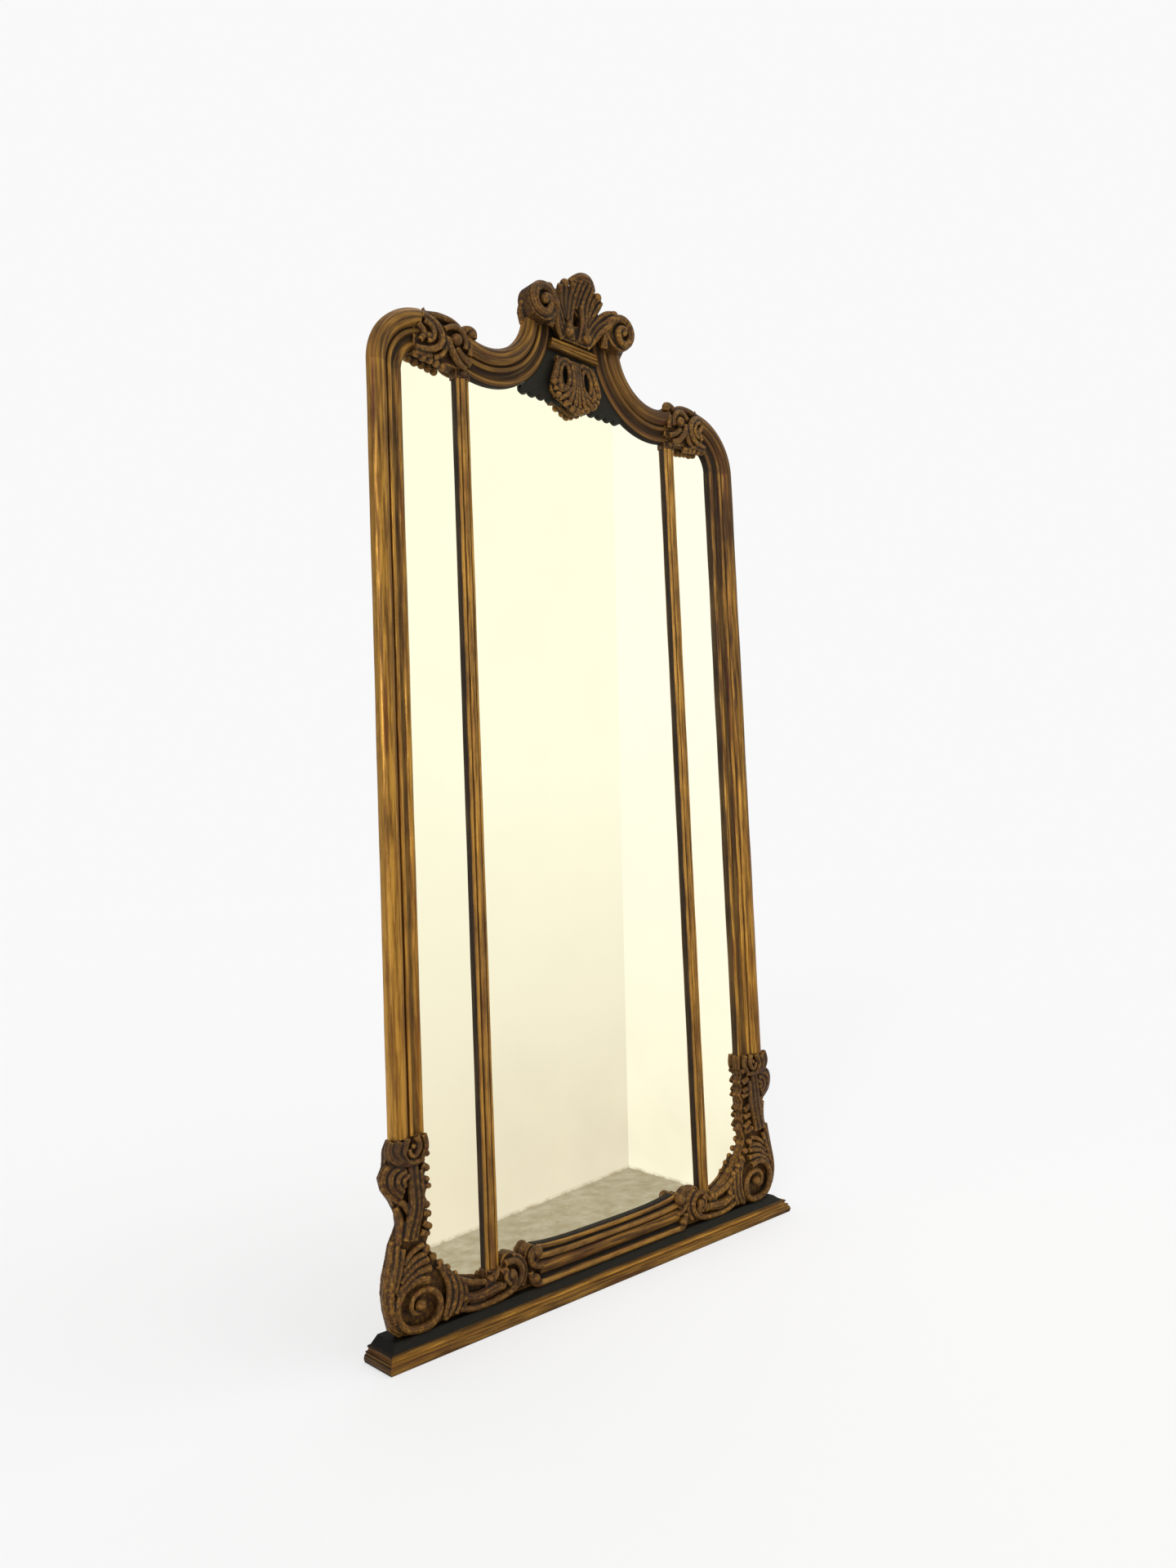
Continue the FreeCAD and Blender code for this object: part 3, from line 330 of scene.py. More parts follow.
def paint_material(name, colour, second, gloss=0.5):
    material, net, shader = new_material(name)
    where = net.node("ShaderNodeTexCoord").outputs["Object"]
    cloud = net.noise(where, 18.0, 5.0, 0.65)
    scratch = net.noise(net.stretched(where, (1, 6, 6)), 50.0, 4.0, 0.7)
    worn = net.math("MULTIPLY", net.spread(scratch, 0.55, 0.75), 0.7)
    net.feed(net.mix(worn, net.mix(net.spread(cloud, 0.35, 0.65), colour, second), rgb(52, 38, 24)),
             shader.inputs["Base Color"])
    net.feed(net.spread(cloud, 0.3, 0.7, gloss - 0.1, gloss + 0.15), shader.inputs["Roughness"])
    shader.inputs["Specular IOR Level"].default_value = 0.15
    add_bump(net, shader, net.math("ADD", cloud, scratch), 0.3, 0.0008)
    return material


def pine_material():
    material, net, shader = new_material("bare pine")
    where = net.node("ShaderNodeTexCoord").outputs["Object"]
    grain = net.use(GRAIN, Vector=net.stretched(where, (1, 1, 0.12)))
    net.feed(grain.outputs["Color"], shader.inputs["Base Color"])
    net.feed(grain.outputs["Roughness"], shader.inputs["Roughness"])
    add_bump(net, shader, grain.outputs["Height"], 0.35, 0.0008)
    return material


def steel_material():
    material, net, shader = new_material("old steel")
    where = net.node("ShaderNodeTexCoord").outputs["Object"]
    rust = net.spread(net.noise(where, 160.0, 5.0, 0.7), 0.5, 0.7)
    net.feed(net.mix(rust, (0.42, 0.4, 0.38, 1), (0.2, 0.11, 0.06, 1)), shader.inputs["Base Color"])
    net.feed(net.math("SUBTRACT", 1.0, rust), shader.inputs["Metallic"])
    net.feed(net.spread(rust, 0.0, 1.0, 0.35, 0.8), shader.inputs["Roughness"])
    add_bump(net, shader, rust, 0.3, 0.0005)
    return material


STILE_GILT = gilt_material("stile gilding", "swept", 0.32, 0.52, True, 0.25)
TOP_GILT = gilt_material("top gilding", "swept", 0.5, 0.42, True, 0.25)
RAIL_GILT = gilt_material("rail gilding", (0.06, 1, 1), 0.6, 0.4, True, 0.3)
PLINTH_GILT = gilt_material("plinth gilding", (0.06, 1, 1), 0.15, 0.72, True, 0.3)
BAND_GILT = gilt_material("band gilding", (0.06, 1, 1), 0.6, 0.5, False, 0.35)
# The returns are duller than the front: partly wear, partly painted shade on the plinth's sides.
RETURN_GILT = gilt_material("return gilding", (1, 0.06, 1), 0.5, 0.4, True, 0.35)
CARVED = gilt_material("carved gilding", (1, 1, 1), 1.0, 0.24, True, 0.15)
BAR = gilt_material("bar gilding", (1, 1, 0.06), 0.45, 0.5, True, 0.3)
MIRROR = mirror_material()
DARK = paint_material("dark paint", rgb(14, 15, 13), rgb(24, 22, 17))
PINE = pine_material()
STEEL = steel_material()


# ---------------------------------------------------------------- mesh helpers

def link(thing):
    bpy.context.scene.collection.objects.link(thing)
    return thing


def tubes(strands):
    """Round strands as one mesh: a smooth spline follows each list of (across, up, depth, radius)."""
    data = bpy.data.curves.new("strands", "CURVE")
    data.dimensions = "3D"
    data.bevel_depth = 1.0
    data.bevel_resolution = 2
    data.resolution_u = 6
    data.use_fill_caps = True
    for points in strands:
        closed = points[0] == points[-1]
        points = points[:-1] if closed else points
        spline = data.splines.new("NURBS")
        spline.points.add(len(points) - 1)
        for spot, (across, up, depth, radius) in zip(spline.points, points):
            spot.co = (across, depth, up, 1.0)
            spot.radius = radius
        spline.order_u = min(3, len(points))
        spline.use_cyclic_u = closed
        spline.use_endpoint_u = not closed
    return mesh_of(link(bpy.data.objects.new("strands", data)))


def slab(outline, front, back):
    """A flat board with an outline of straight sides through (across, up) points between two depths."""
    data = bpy.data.curves.new("slab", "CURVE")
    data.dimensions = "2D"
    data.fill_mode = "BOTH"
    data.extrude = (back - front) / 2
    spline = data.splines.new("POLY")
    spline.points.add(len(outline) - 1)
    for spot, (across, up) in zip(spline.points, outline):
        spot.co = (across, up, 0.0, 1.0)
    spline.use_cyclic_u = True
    mesh = mesh_of(link(bpy.data.objects.new("slab", data)))
    mesh.transform(Matrix.Translation((0, (front + back) / 2, 0)) @ Matrix.Rotation(math.radians(90), 4,
            "X"))
    return mesh


def balls(spots):
    """Round bosses: (across, up, depth, radius)."""
    bm = bmesh.new()
    for across, up, depth, radius in spots:
        bmesh.ops.create_icosphere(bm, subdivisions=3, radius=radius,
                                   matrix=Matrix.Translation((across, depth, up)))
    return mesh_from(bm)


def mesh_of(thing):
    """The mesh that a curve object shows; the object itself is removed."""
    bpy.context.view_layer.update()
    shown = thing.evaluated_get(bpy.context.evaluated_depsgraph_get())
    mesh = bpy.data.meshes.new_from_object(shown)
    bpy.data.objects.remove(thing)
    return mesh


def mesh_from(bm):
    mesh = bpy.data.meshes.new("part")
    bm.to_mesh(mesh)
    bm.free()
    return mesh


def merged(meshes):
    bm = bmesh.new()
    for mesh in meshes:
        bm.from_mesh(mesh)
        bpy.data.meshes.remove(mesh)
    return bm


def carve(bm, voxel=VOXEL, rounds=3):
    """Melts overlapping closed shapes into one carved body, in millimetres."""
    thing = link(bpy.data.objects.new("block", mesh_from(bm)))
    melt = thing.modifiers.new("melt", "REMESH")
    melt.mode = "VOXEL"
    melt.voxel_size = voxel
    soften = thing.modifiers.new("soften", "SMOOTH")
    soften.factor = 0.5
    soften.iterations = rounds
    return mesh_of(thing)


def mark_hollows(mesh, reach=1.6, rounds=10):
    """Stores how far each point lies in a hollow: 0 on ridges, 1 in grooves, 0.5 on flats."""
    count = len(mesh.vertices)
    spots = np.empty(count * 3)
    mesh.vertices.foreach_get("co", spots)
    spots = spots.reshape(-1, 3)
    ends = np.empty(len(mesh.edges) * 2, dtype=np.int64)
    mesh.edges.foreach_get("vertices", ends)
    ends = ends.reshape(-1, 2)
    degree = np.bincount(ends.ravel(), minlength=count).clip(1)[:, None]
    normals = np.empty(count * 3)
    mesh.vertices.foreach_get("normal", normals)
    normals = normals.reshape(-1, 3)
    smooth = spots.copy()
    for _ in range(rounds):
        total = np.zeros_like(smooth)
        for axis in range(3):
            total[:, axis] = (np.bincount(ends[:, 0], smooth[ends[:, 1], axis], count)
                              + np.bincount(ends[:, 1], smooth[ends[:, 0], axis], count))
        smooth = total / degree
    depth = ((smooth - spots) * normals).sum(axis=1)
    value = np.clip(0.5 + 0.5 * depth / (reach * MM), 0.0, 1.0)
    layer = mesh.attributes.new("hollow", "FLOAT", "POINT")
    layer.data.foreach_set("value", value.astype(np.float32))


def finish(name, mesh, material, nodes, angle=None):
    """Turns a mesh in millimetres into a piece in place of the frame's nodes."""
    mesh.transform(Matrix.Scale(MM, 4))
    mesh.name = name
    mesh.materials.clear()
    mesh.materials.append(material)
    mesh.polygons.foreach_set("use_smooth", [True] * len(mesh.polygons))
    if angle:
        mesh.set_sharp_from_angle(angle=math.radians(angle))
    if "hollow" not in mesh.attributes:
        mark_hollows(mesh)
    piece = link(bpy.data.objects.new(name, mesh))
    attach(piece, "root")
    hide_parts(*nodes)
    return piece


def mirrored(mesh):
    twin = mesh.copy()
    twin.transform(Matrix.Scale(-1, 4, (1, 0, 0)))
    twin.flip_normals()
    return twin


def both_sides(kind, label, mesh, material, angle=None):
    """Finishes a piece of the right half and its mirror image on the left."""
    for side, name in SIDES:
        own = mesh.copy() if side > 0 else mirrored(mesh)
        node = "%s_%s" % (name, kind)
        finish("%s_%s" % (node, label), own, material, [node], angle)


def cut_between(mesh, planes):
    """The part of a closed mesh between planes, closed again: each plane is (axis, place, side kept)."""
    bm = bmesh.new()
    bm.from_mesh(mesh)
    for axis, place, keep in planes:
        spot = Vector((0, 0, 0))
        spot["xyz".index(axis)] = place
        facing = Vector((0, 0, 0))
        facing["xyz".index(axis)] = -keep
        everything = bm.verts[:] + bm.edges[:] + bm.faces[:]
        made = bmesh.ops.bisect_plane(bm, geom=everything, plane_co=spot, plane_no=facing, clear_outer=True)
        rim = [e for e in made["geom_cut"] if isinstance(e, bmesh.types.BMEdge)]
        bmesh.ops.holes_fill(bm, edges=rim)
    return mesh_from(bm)


# ---------------------------------------------------------------- mouldings

def arc(start, middle, end, steps):
    """Points after start along the arc through three points."""
    ax, ay = start
    bx, by = middle
    cx, cy = end
    d = 2 * (ax * (by - cy) + bx * (cy - ay) + cx * (ay - by))
    ux = ((ax**2 + ay**2) * (by - cy) + (bx**2 + by**2) * (cy - ay) + (cx**2 + cy**2) * (ay - by)) / d
    uy = ((ax**2 + ay**2) * (cx - bx) + (bx**2 + by**2) * (ax - cx) + (cx**2 + cy**2) * (bx - ax)) / d
    first = math.atan2(ay - uy, ax - ux)
    last = math.atan2(cy - uy, cx - ux)
    through = math.atan2(by - uy, bx - ux)
    turn = (last - first) % math.tau
    if (through - first) % math.tau > turn:
        turn -= math.tau
    radius = math.hypot(ax - ux, ay - uy)
    return [(ux + radius * math.cos(first + turn * i / steps),
             uy + radius * math.sin(first + turn * i / steps))
            for i in range(1, steps + 1)]


def traced(start, steps):
    """A section: steps are straight ends (u, y) or arcs (mid u, mid y, end u, end y, pieces)."""
    points = [start]
    for step in steps:
        if len(step) == 2:
            points.append(step)
        else:
            points += arc(points[-1], step[0:2], step[2:4], step[4])
    return points


def main_section():
    """Section of the main moulding: u runs in from its outer edge, the second value is depth."""
    return traced((BEVEL_WIDE, CARCASS), [
        (0.0, 13.0), (0.0, 8.0), (0.4, 4.5),
        (17.0, -7.0, 33.6, 4.5, 16),
        (34.0, 6.2), (36.0, 6.2),
        (36.4, 4.4), (40.5, 1.3, 44.6, 4.4, 6),
        (45.4, 5.4), (50.5, 12.2, 56.4, 10.6, 7),
        (57.0, 10.2), (62.6, 6.8, 68.4, 10.4, 8),
        (69.2, 11.4), (70.0, 12.4), (70.0, GLASS), (60.0, GLASS), (60.0, CARCASS)])


def ring(bm, points, spot):
    """One section laid into a bmesh as a loop of edges."""
    corners = [bm.verts.new(spot(*p)) for p in points]
    count = len(corners)
    return corners + [bm.edges.new((corners[i], corners[(i + 1) % count])) for i in range(count)]


def swept(points, spot, centre, axis, angle, shift, steps):
    """A section spun or pushed along, with both ends closed."""
    bm = bmesh.new()
    start = ring(bm, points, spot)
    first = [e for e in start if isinstance(e, bmesh.types.BMEdge)]
    made = bmesh.ops.spin(bm, geom=start, cent=centre, axis=axis, angle=angle, dvec=shift, steps=steps,
                          use_merge=False, use_duplicate=False)
    last = [e for e in made["geom_last"] if isinstance(e, bmesh.types.BMEdge)]
    bmesh.ops.contextual_create(bm, geom=first)
    bmesh.ops.contextual_create(bm, geom=last)
    bmesh.ops.recalc_face_normals(bm, faces=bm.faces[:])
    return bm


def unevenness(bm, seed, size=0.35, wave=70.0):
    """Slight hand-made waviness along a moulding, kept off its back."""
    for vert in bm.verts:
        x, y, z = vert.co
        if y < GLASS - 2:
            vert.co.y += size * (math.sin(z / wave + seed)
                                 + 0.6 * math.sin(z / (0.37 * wave) + 2 * seed + x / 40))


def open_hollows(mesh, reach, rounds):
    """Marks the hollows of a swept mesh as if it had no end faces, so that its ends look like its middle."""
    bm = bmesh.new()
    bm.from_mesh(mesh)
    ends = [f for f in bm.faces if len(f.verts) > 4]
    bmesh.ops.delete(bm, geom=ends, context="FACES_ONLY")
    bare = mesh_from(bm)
    mark_hollows(bare, reach / MM, rounds)
    values = np.empty(len(mesh.vertices), dtype=np.float32)
    bare.attributes["hollow"].data.foreach_get("value", values)
    bpy.data.meshes.remove(bare)
    layer = mesh.attributes.new("hollow", "FLOAT", "POINT")
    layer.data.foreach_set("value", values)
    return layer


def darken(mesh, layer, value, test):
    """Sets the hollow value of the points that pass a test, so that the gilding makes them as dark as deep
    hollows.
    """
    for index, vert in enumerate(mesh.vertices):
        if test(*vert.co):
            layer.data[index].value = value


def shade_side(mesh, inward, run):
    """Marks hollows and grain of a swept piece; the narrow side of its sight edge is made near black through
    its hollow value.
    """
    layer = open_hollows(mesh, 2.2, 3)
    grain = mesh.attributes.new("grain", "FLOAT_VECTOR", "POINT")
    for index, vert in enumerate(mesh.vertices):
        x, y, z = vert.co
        grain.data[index].vector = (inward(x, z) * MM, y * MM, run(x, z) * MM)
    darken(mesh, layer, 1.0, lambda x, y, z: inward(x, z) > MOULD_WIDE - 1.2 and y > 10.6)


def main_moulding():
    points = main_section()
    up = SHOULDER - CORNER_ROUND - LEAF_TOP
    cx, cz = FRAME_HALF - CORNER_ROUND, SHOULDER - CORNER_ROUND
    stile = swept(points, lambda u, y: (FRAME_HALF - u, y, LEAF_TOP), (0, 0, 0), (0, 0, 1), 0.0,
                  (0, 0, up / 60), 60)
    corner = swept(points, lambda u, y: (FRAME_HALF - u, y, cz), (cx, 0, cz), (0, 1, 0), -math.pi / 2,
                   (0, 0, 0), 28)
    neck = swept(points, lambda u, y: (NECK_X - NECK_ROUND - u, y, NECK_Z), (NECK_X, 0, NECK_Z), (0, 1, 0),
                 -math.radians(128), (0, 0, 0), 64)
    unevenness(stile, 0.7)
    stile_mesh = mesh_from(stile)
    corner_mesh = cut_between(mesh_from(corner), [("x", CLASP_LEFT - 12, 1)])
    neck_mesh = cut_between(mesh_from(neck), [("x", CLASP_RIGHT + 12, -1)])
    made = (("stile", stile_mesh, STILE_GILT, lambda x, z: FRAME_HALF - x, lambda x, z: z),
            ("corner", corner_mesh, TOP_GILT, lambda x, z: CORNER_ROUND - math.hypot(x - cx, z - cz),
             lambda x, z: cz + CORNER_ROUND * math.atan2(z - cz, x - cx)),
            ("neck", neck_mesh, TOP_GILT, lambda x, z: math.hypot(x - NECK_X, z - NECK_Z) - NECK_ROUND,
             lambda x, z: NECK_ROUND * math.atan2(z - NECK_Z, x - NECK_X)))
    for kind, mesh, material, inward, run in made:
        shade_side(mesh, inward, run)
        both_sides(kind, "gilt", mesh, material, MOULD_ANGLE)


def bottom_rail():
    half = RAIL_HALF
    top = FLOOR + 61.0
    points = traced((CARCASS, FLOOR), [
        (-4.0, FLOOR), (-9.5, FLOOR + 5.0, -4.5, FLOOR + 11.0, 6), (-2.0, FLOOR + 12.0),
                                       (1.0, FLOOR + 14.5),
        (-1.0, FLOOR + 17.5), (-6.5, FLOOR + 27.0, 2.0, FLOOR + 37.5, 12), (3.0, FLOOR + 39.0),
        (-3.0, FLOOR + 44.0, 3.0, FLOOR + 49.0, 7), (8.0, FLOOR + 50.5), (5.0, FLOOR + 56.0, 9.0, top, 6),
        (17.7, top), (17.7, 45.7), (CARCASS, 45.7)])
    bm = swept(points, lambda y, z: (-half, y, z), (0, 0, 0), (0, 0, 1), 0.0, (2 * half / 36, 0, 0), 36)
    for vert in bm.verts:
        if vert.co.z > FLOOR + 8:
            vert.co.z += 8.0 * (vert.co.x / half) ** 4 * (vert.co.z - FLOOR - 8) / 53.0
    mesh = mesh_from(bm)
    layer = open_hollows(mesh, 2.0, 3)
    darken(mesh, layer, 0.9, lambda x, y, z: y > 7.5 and z > FLOOR + 50)
    finish("bottom_rail_gilt", mesh, RAIL_GILT, ["bottom_rail"], MOULD_ANGLE)


def plinth_mouldings():
    """Moulding round the foot, mitred at both front corners: front length and two returns."""
    half, front, back = 498.0, -18.0, 47.0
    points = traced((0.0, 0.0), [
        (11.0, 0.0), (13.0, 6.5, 11.0, 12.6, 6), (9.0, 13.2), (8.8, 14.6), (10.2, 15.6, 8.4, 17.0, 4),
        (5.2, 18.0, 4.0, 21.0, 5), (5.6, 21.4), (6.2, 23.2, 5.4, 25.0, 4), (0.0, 25.0)])
    steps = 30
    for name, material in (("plinth_front_moulding", PLINTH_GILT), ("plinth_left_return", RETURN_GILT),
                           ("plinth_right_return", RETURN_GILT)):
        bm = swept(points, lambda u, z: (0.0, u, z), (0, 0, 0), (0, 0, 1), 0.0, (1.0 / steps, 0, 0), steps)
        for vert in bm.verts:
            share, out, z = vert.co
            if name == "plinth_front_moulding":
                vert.co = ((2 * share - 1) * (half + out), front - out, z)
            else:
                side = -1 if "left" in name else 1
                vert.co = (side * (half + out), (front - out) * share + back * (1 - share), z)
        bmesh.ops.recalc_face_normals(bm, faces=bm.faces[:])
        mesh = mesh_from(bm)
        open_hollows(mesh, 1.2, 2)
        finish(name + "_gilt", mesh, material, [name], MOULD_ANGLE)


def glazing_bars():
    """Reeded bar over the joint of two panes, with a turned boss on the block at each end."""
    foot, head = BAR_FOOT + 20.0, 1660.0
    points = traced((-15.5, 18.0), [
        (-15.5, 13.0), (-13.0, 10.0), (-11.0, 7.6, -7.2, 10.0, 5), (-6.4, 10.6), (-6.0, 9.0),
        (0.0, 4.6, 6.0, 9.0, 8), (6.4, 10.6), (7.2, 10.0), (11.0, 7.6, 13.0, 10.0, 5), (15.5, 13.0),
                                    (15.5, 18.0)])
    bm = swept(points, lambda x, y: (BAR_X + x, y, foot), (0, 0, 0), (0, 0, 1), 0.0,
               (0, 0, (head - foot) / 60), 60)
    for vert in bm.verts:
        if vert.co.y < 12:
            vert.co.y += 0.25 * math.sin(vert.co.z / 55.0) + 0.2 * math.sin(vert.co.z / 21.0 + 1.0)
    mesh = mesh_from(bm)
    layer = open_hollows(mesh, 1.4, 3)
    darken(mesh, layer, 1.0, lambda x, y, z: y > 12.5)
    both_sides("glazing_bar", "gilt", mesh, BAR, MOULD_ANGLE)
    for label, low in (("bar_foot", BAR_FOOT), ("bar_head", head)):
        block = merged([
            slab([(261, low), (293, low), (293, low + 20), (261, low + 20)], 7.5, 17.8),
            balls([(BAR_X, low + 10, 6.0, 7.0)]),
            tubes([[(266, low + 3, 7, 2), (288, low + 3, 7, 2)],
                   [(266, low + 17, 7, 2), (288, low + 17, 7, 2)]])])
        both_sides(label, "gilt", carve(block, 0.9, 2), CARVED)


# ---------------------------------------------------------------- carved lower part

def lower_strands():
    """Volute, leaf, foot scroll and rail curl of one side."""
    volute = [
        [(418, 114, -3, 7.5), (431, 119, -3, 7.5), (449, 118, -4, 7), (466, 110, -4, 6.5),
         (477, 96, -4, 6.5),
         (480, 79, -4, 6.5), (474, 60, -4, 6.5), (460, 47, -3, 7), (440, 42, -3, 7), (418, 42, -3, 7),
         (402, 50, -3, 6.5), (395, 67, -3, 6.5), (399, 86, -3, 6), (413, 98, -3, 5.5), (429, 101, -3, 5),
         (443, 98, -3, 4.5), (452, 88, -3, 4.5), (452, 75, -3, 4), (444, 67, -2, 4), (436, 68, -2, 3.5)],
        [(481, 190, 3, 5), (483, 168, 3, 6), (490, 138, 4, 7), (494, 112, 4, 7.5), (493, 90, 4, 7.5),
         (486, 66, 3, 7.5), (474, 50, 2, 7), (456, 43, 1, 6)],
        [(474, 182, -1, 5), (478, 152, -2, 6), (486, 128, -2, 6.5), (490, 106, -2, 6.5), (489, 84, -2, 6.5),
         (481, 64, -2, 6)],
        [(464, 174, -2, 5), (470, 150, -3, 6), (478, 128, -3, 6), (482, 112, -3, 5.5)],
        [(412, 130, -1, 6), (432, 132, -2, 6), (452, 127, -3, 6), (466, 118, -3, 6), (478, 106, -2, 5)],
        [(416, 145, -1, 5.5), (440, 144, -2, 5.5), (458, 134, -3, 5.5), (471, 123, -3, 5)],
        [(419, 156, 0, 5), (440, 155, -1, 5), (456, 146, -2, 5), (468, 135, -2, 4.5)],
        [(424, 170, 0, 5), (440, 168, -1, 5), (454, 160, -2, 4.5), (464, 150, -2, 4)],
    ]
    hanging_leaf = [
        [(390, 122, 0, 5), (380, 104, -2, 5), (377, 84, -3, 5.5), (381, 64, -3, 5), (388, 47, -2, 5)],
        [(376, 112, 0, 5), (369, 98, -3, 5.5), (366, 82, -4, 6), (369, 63, -4, 5.5), (378, 47, -3, 5),
         (385, 43, -2, 4)],
        [(362, 102, 0, 5), (357, 88, -3, 5.5), (355, 73, -4, 6), (359, 57, -4, 5), (367, 45, -3, 5)],
        [(350, 94, 1, 5), (345, 80, -1, 5.5), (344, 66, -2, 6), (348, 53, -2, 5), (354, 46, -2, 4.5)],
        [(396, 131, 1, 6.5), (380, 115, 1, 6.5), (362, 99, 1, 6), (344, 88, 1, 6), (324, 81, 1, 5.5),
         (300, 76, 1, 5)],
    ]
    leaf = [
        [(480, 345, 0, 8), (486, 334, 0, 8), (483, 320, -1, 8.5), (468, 309, -3, 8), (450, 305, -4, 6),
         (432, 304, -4, 5), (420, 306, -3, 4)],
        [(466, 343, -3, 8), (474, 331, -3, 8), (471, 318, -4, 7), (459, 308, -5, 6), (446, 306, -5, 5)],
        [(452, 345, -4, 7), (458, 330, -5, 6), (461, 318, -6, 5), (453, 309, -6, 4)],
        [(434, 345, -4, 6), (428, 334, -5, 5.5), (430, 322, -5, 5), (438, 314, -5, 4.5), (448, 318, -5, 4),
         (449, 327, -5, 4)],
        [(418, 345, -1, 6), (413, 330, -1, 6), (416, 316, -2, 5), (424, 308, -3, 4)],
        [(468, 308, 1, 6), (486, 306, 2, 8), (495, 293, 3, 8.5), (494, 276, 3, 8), (485, 262, 2, 7.5),
         (472, 254, 0, 6)],
        [(462, 302, -2, 6), (478, 300, -3, 6.5), (486, 290, -3, 7), (485, 276, -3, 6.5), (476, 264, -3, 6),
         (464, 255, -3, 5)],
        [(456, 294, -4, 5.5), (468, 292, -5, 6), (474, 282, -5, 6), (471, 271, -5, 5.5), (462, 262, -4, 5)],
        [(450, 286, -5, 5), (459, 285, -6, 5), (462, 277, -6, 5), (458, 270, -5, 4)],
        [(447, 300, -3, 5), (447, 270, -5, 6), (446, 244, -6, 7), (449, 225, -6, 7), (456, 207, -5, 6.5),
         (460, 186, -4, 6)],
        [(437, 300, -3, 5), (437, 265, -5, 6), (436, 241, -6, 6.5), (439, 221, -6, 6.5), (445, 204, -5, 6),
         (450, 184, -4, 6)],
        [(427, 290, -2, 5), (427, 258, -4, 6), (427, 239, -4, 6), (433, 221, -4, 6), (438, 198, -3, 5.5),
         (441, 182, -2, 5)],
        [(472, 252, 2, 6), (463, 246, -1, 6), (455, 236, -3, 6), (452, 226, -4, 5)],
        [(474, 240, 4, 6), (468, 228, 3, 7), (465, 212, 2, 7.5), (467, 196, 2, 7), (472, 183, 1, 6.5)],
        [(423, 318, -1, 6), (413, 313, 1, 6), (408, 311, 3, 5)],
        [(424, 296, 0, 6), (415, 291, 1, 7), (410, 288, 3, 6)],
        [(424, 276, 0, 5), (415, 272, 1, 6), (410, 270, 3, 5)],
        [(422, 262, 0, 4.5), (411, 261, 1, 5), (407, 259, 3, 5)],
        [(426, 240, -1, 5), (418, 232, 1, 6), (411, 230, 3, 6)],
        [(424, 220, -1, 5), (414, 217, 1, 6.5), (409, 215, 3, 6)],
        [(424, 205, -1, 5), (414, 198, 1, 6), (408, 194, 3, 6)],
        [(430, 192, -1, 6), (420, 186, 1, 6), (410, 184, 3, 4)],
    ]
    scroll = [
        [(358, 50, -2, 6), (340, 44, -3, 6), (317, 41, -3, 6), (292, 41, -3, 6), (267, 43, -3, 6),
         (250, 47, -4, 6),
         (235, 54, -4, 6.5), (225, 65, -4, 6.5), (224, 80, -4, 6.5), (232, 92, -4, 6), (246, 97, -3, 6),
         (260, 95, -2, 6)],
        [(352, 66, -1, 8), (330, 58, -1, 9), (310, 57, -1, 9.5), (290, 60, -2, 9.5), (274, 62, -2, 8),
         (262, 60, -3, 6)],
        [(240, 101, 3, 6), (228, 98, 3, 6), (217, 88, 2, 6), (214, 74, 1, 6), (216, 60, 0, 6),
         (224, 48, -1, 5)],
        [(268, 84, -2, 5), (256, 88, -5, 4.5), (262, 76, -6, 4.5), (258, 66, -6, 4.5), (250, 59, -5, 4)],
        [(246, 76, -6, 8), (241, 64, -6, 6), (242, 54, -5, 5), (252, 47, -4, 4.5)],
        [(302, 72, 1, 5), (288, 72, 1, 5.5), (276, 78, 1, 5), (268, 90, 2, 5)],
    ]
    curl = [
        [(186, 98, -1, 9), (198, 97, -2, 7.5), (203, 86, -3, 6.5), (198, 76, -4, 6), (186, 71, -5, 5.5),
         (176, 70, -5, 4.5)],
        [(204, 66, -2, 6), (202, 54, -3, 6), (196, 44, -4, 6.5), (184, 41, -5, 6.5), (172, 40, -5, 4)],
        [(186, 86, -1, 5), (190, 80, -2, 4)],
    ]
    bosses = [(434, 78, -2, 9.5), (419, 163, 0, 7), (405, 146, 1, 6.5), (392, 133, 1, 6), (378, 121, 1, 6),
              (363, 107, 1, 5.5), (440, 330, -4, 4.5), (247, 75, -5, 9), (188, 96, -3, 11),
              (194, 52, -4, 9),
              (386, 44, -3, 4.5), (290, 78, 0, 6)]
    return volute + hanging_leaf + leaf + scroll + curl, bosses


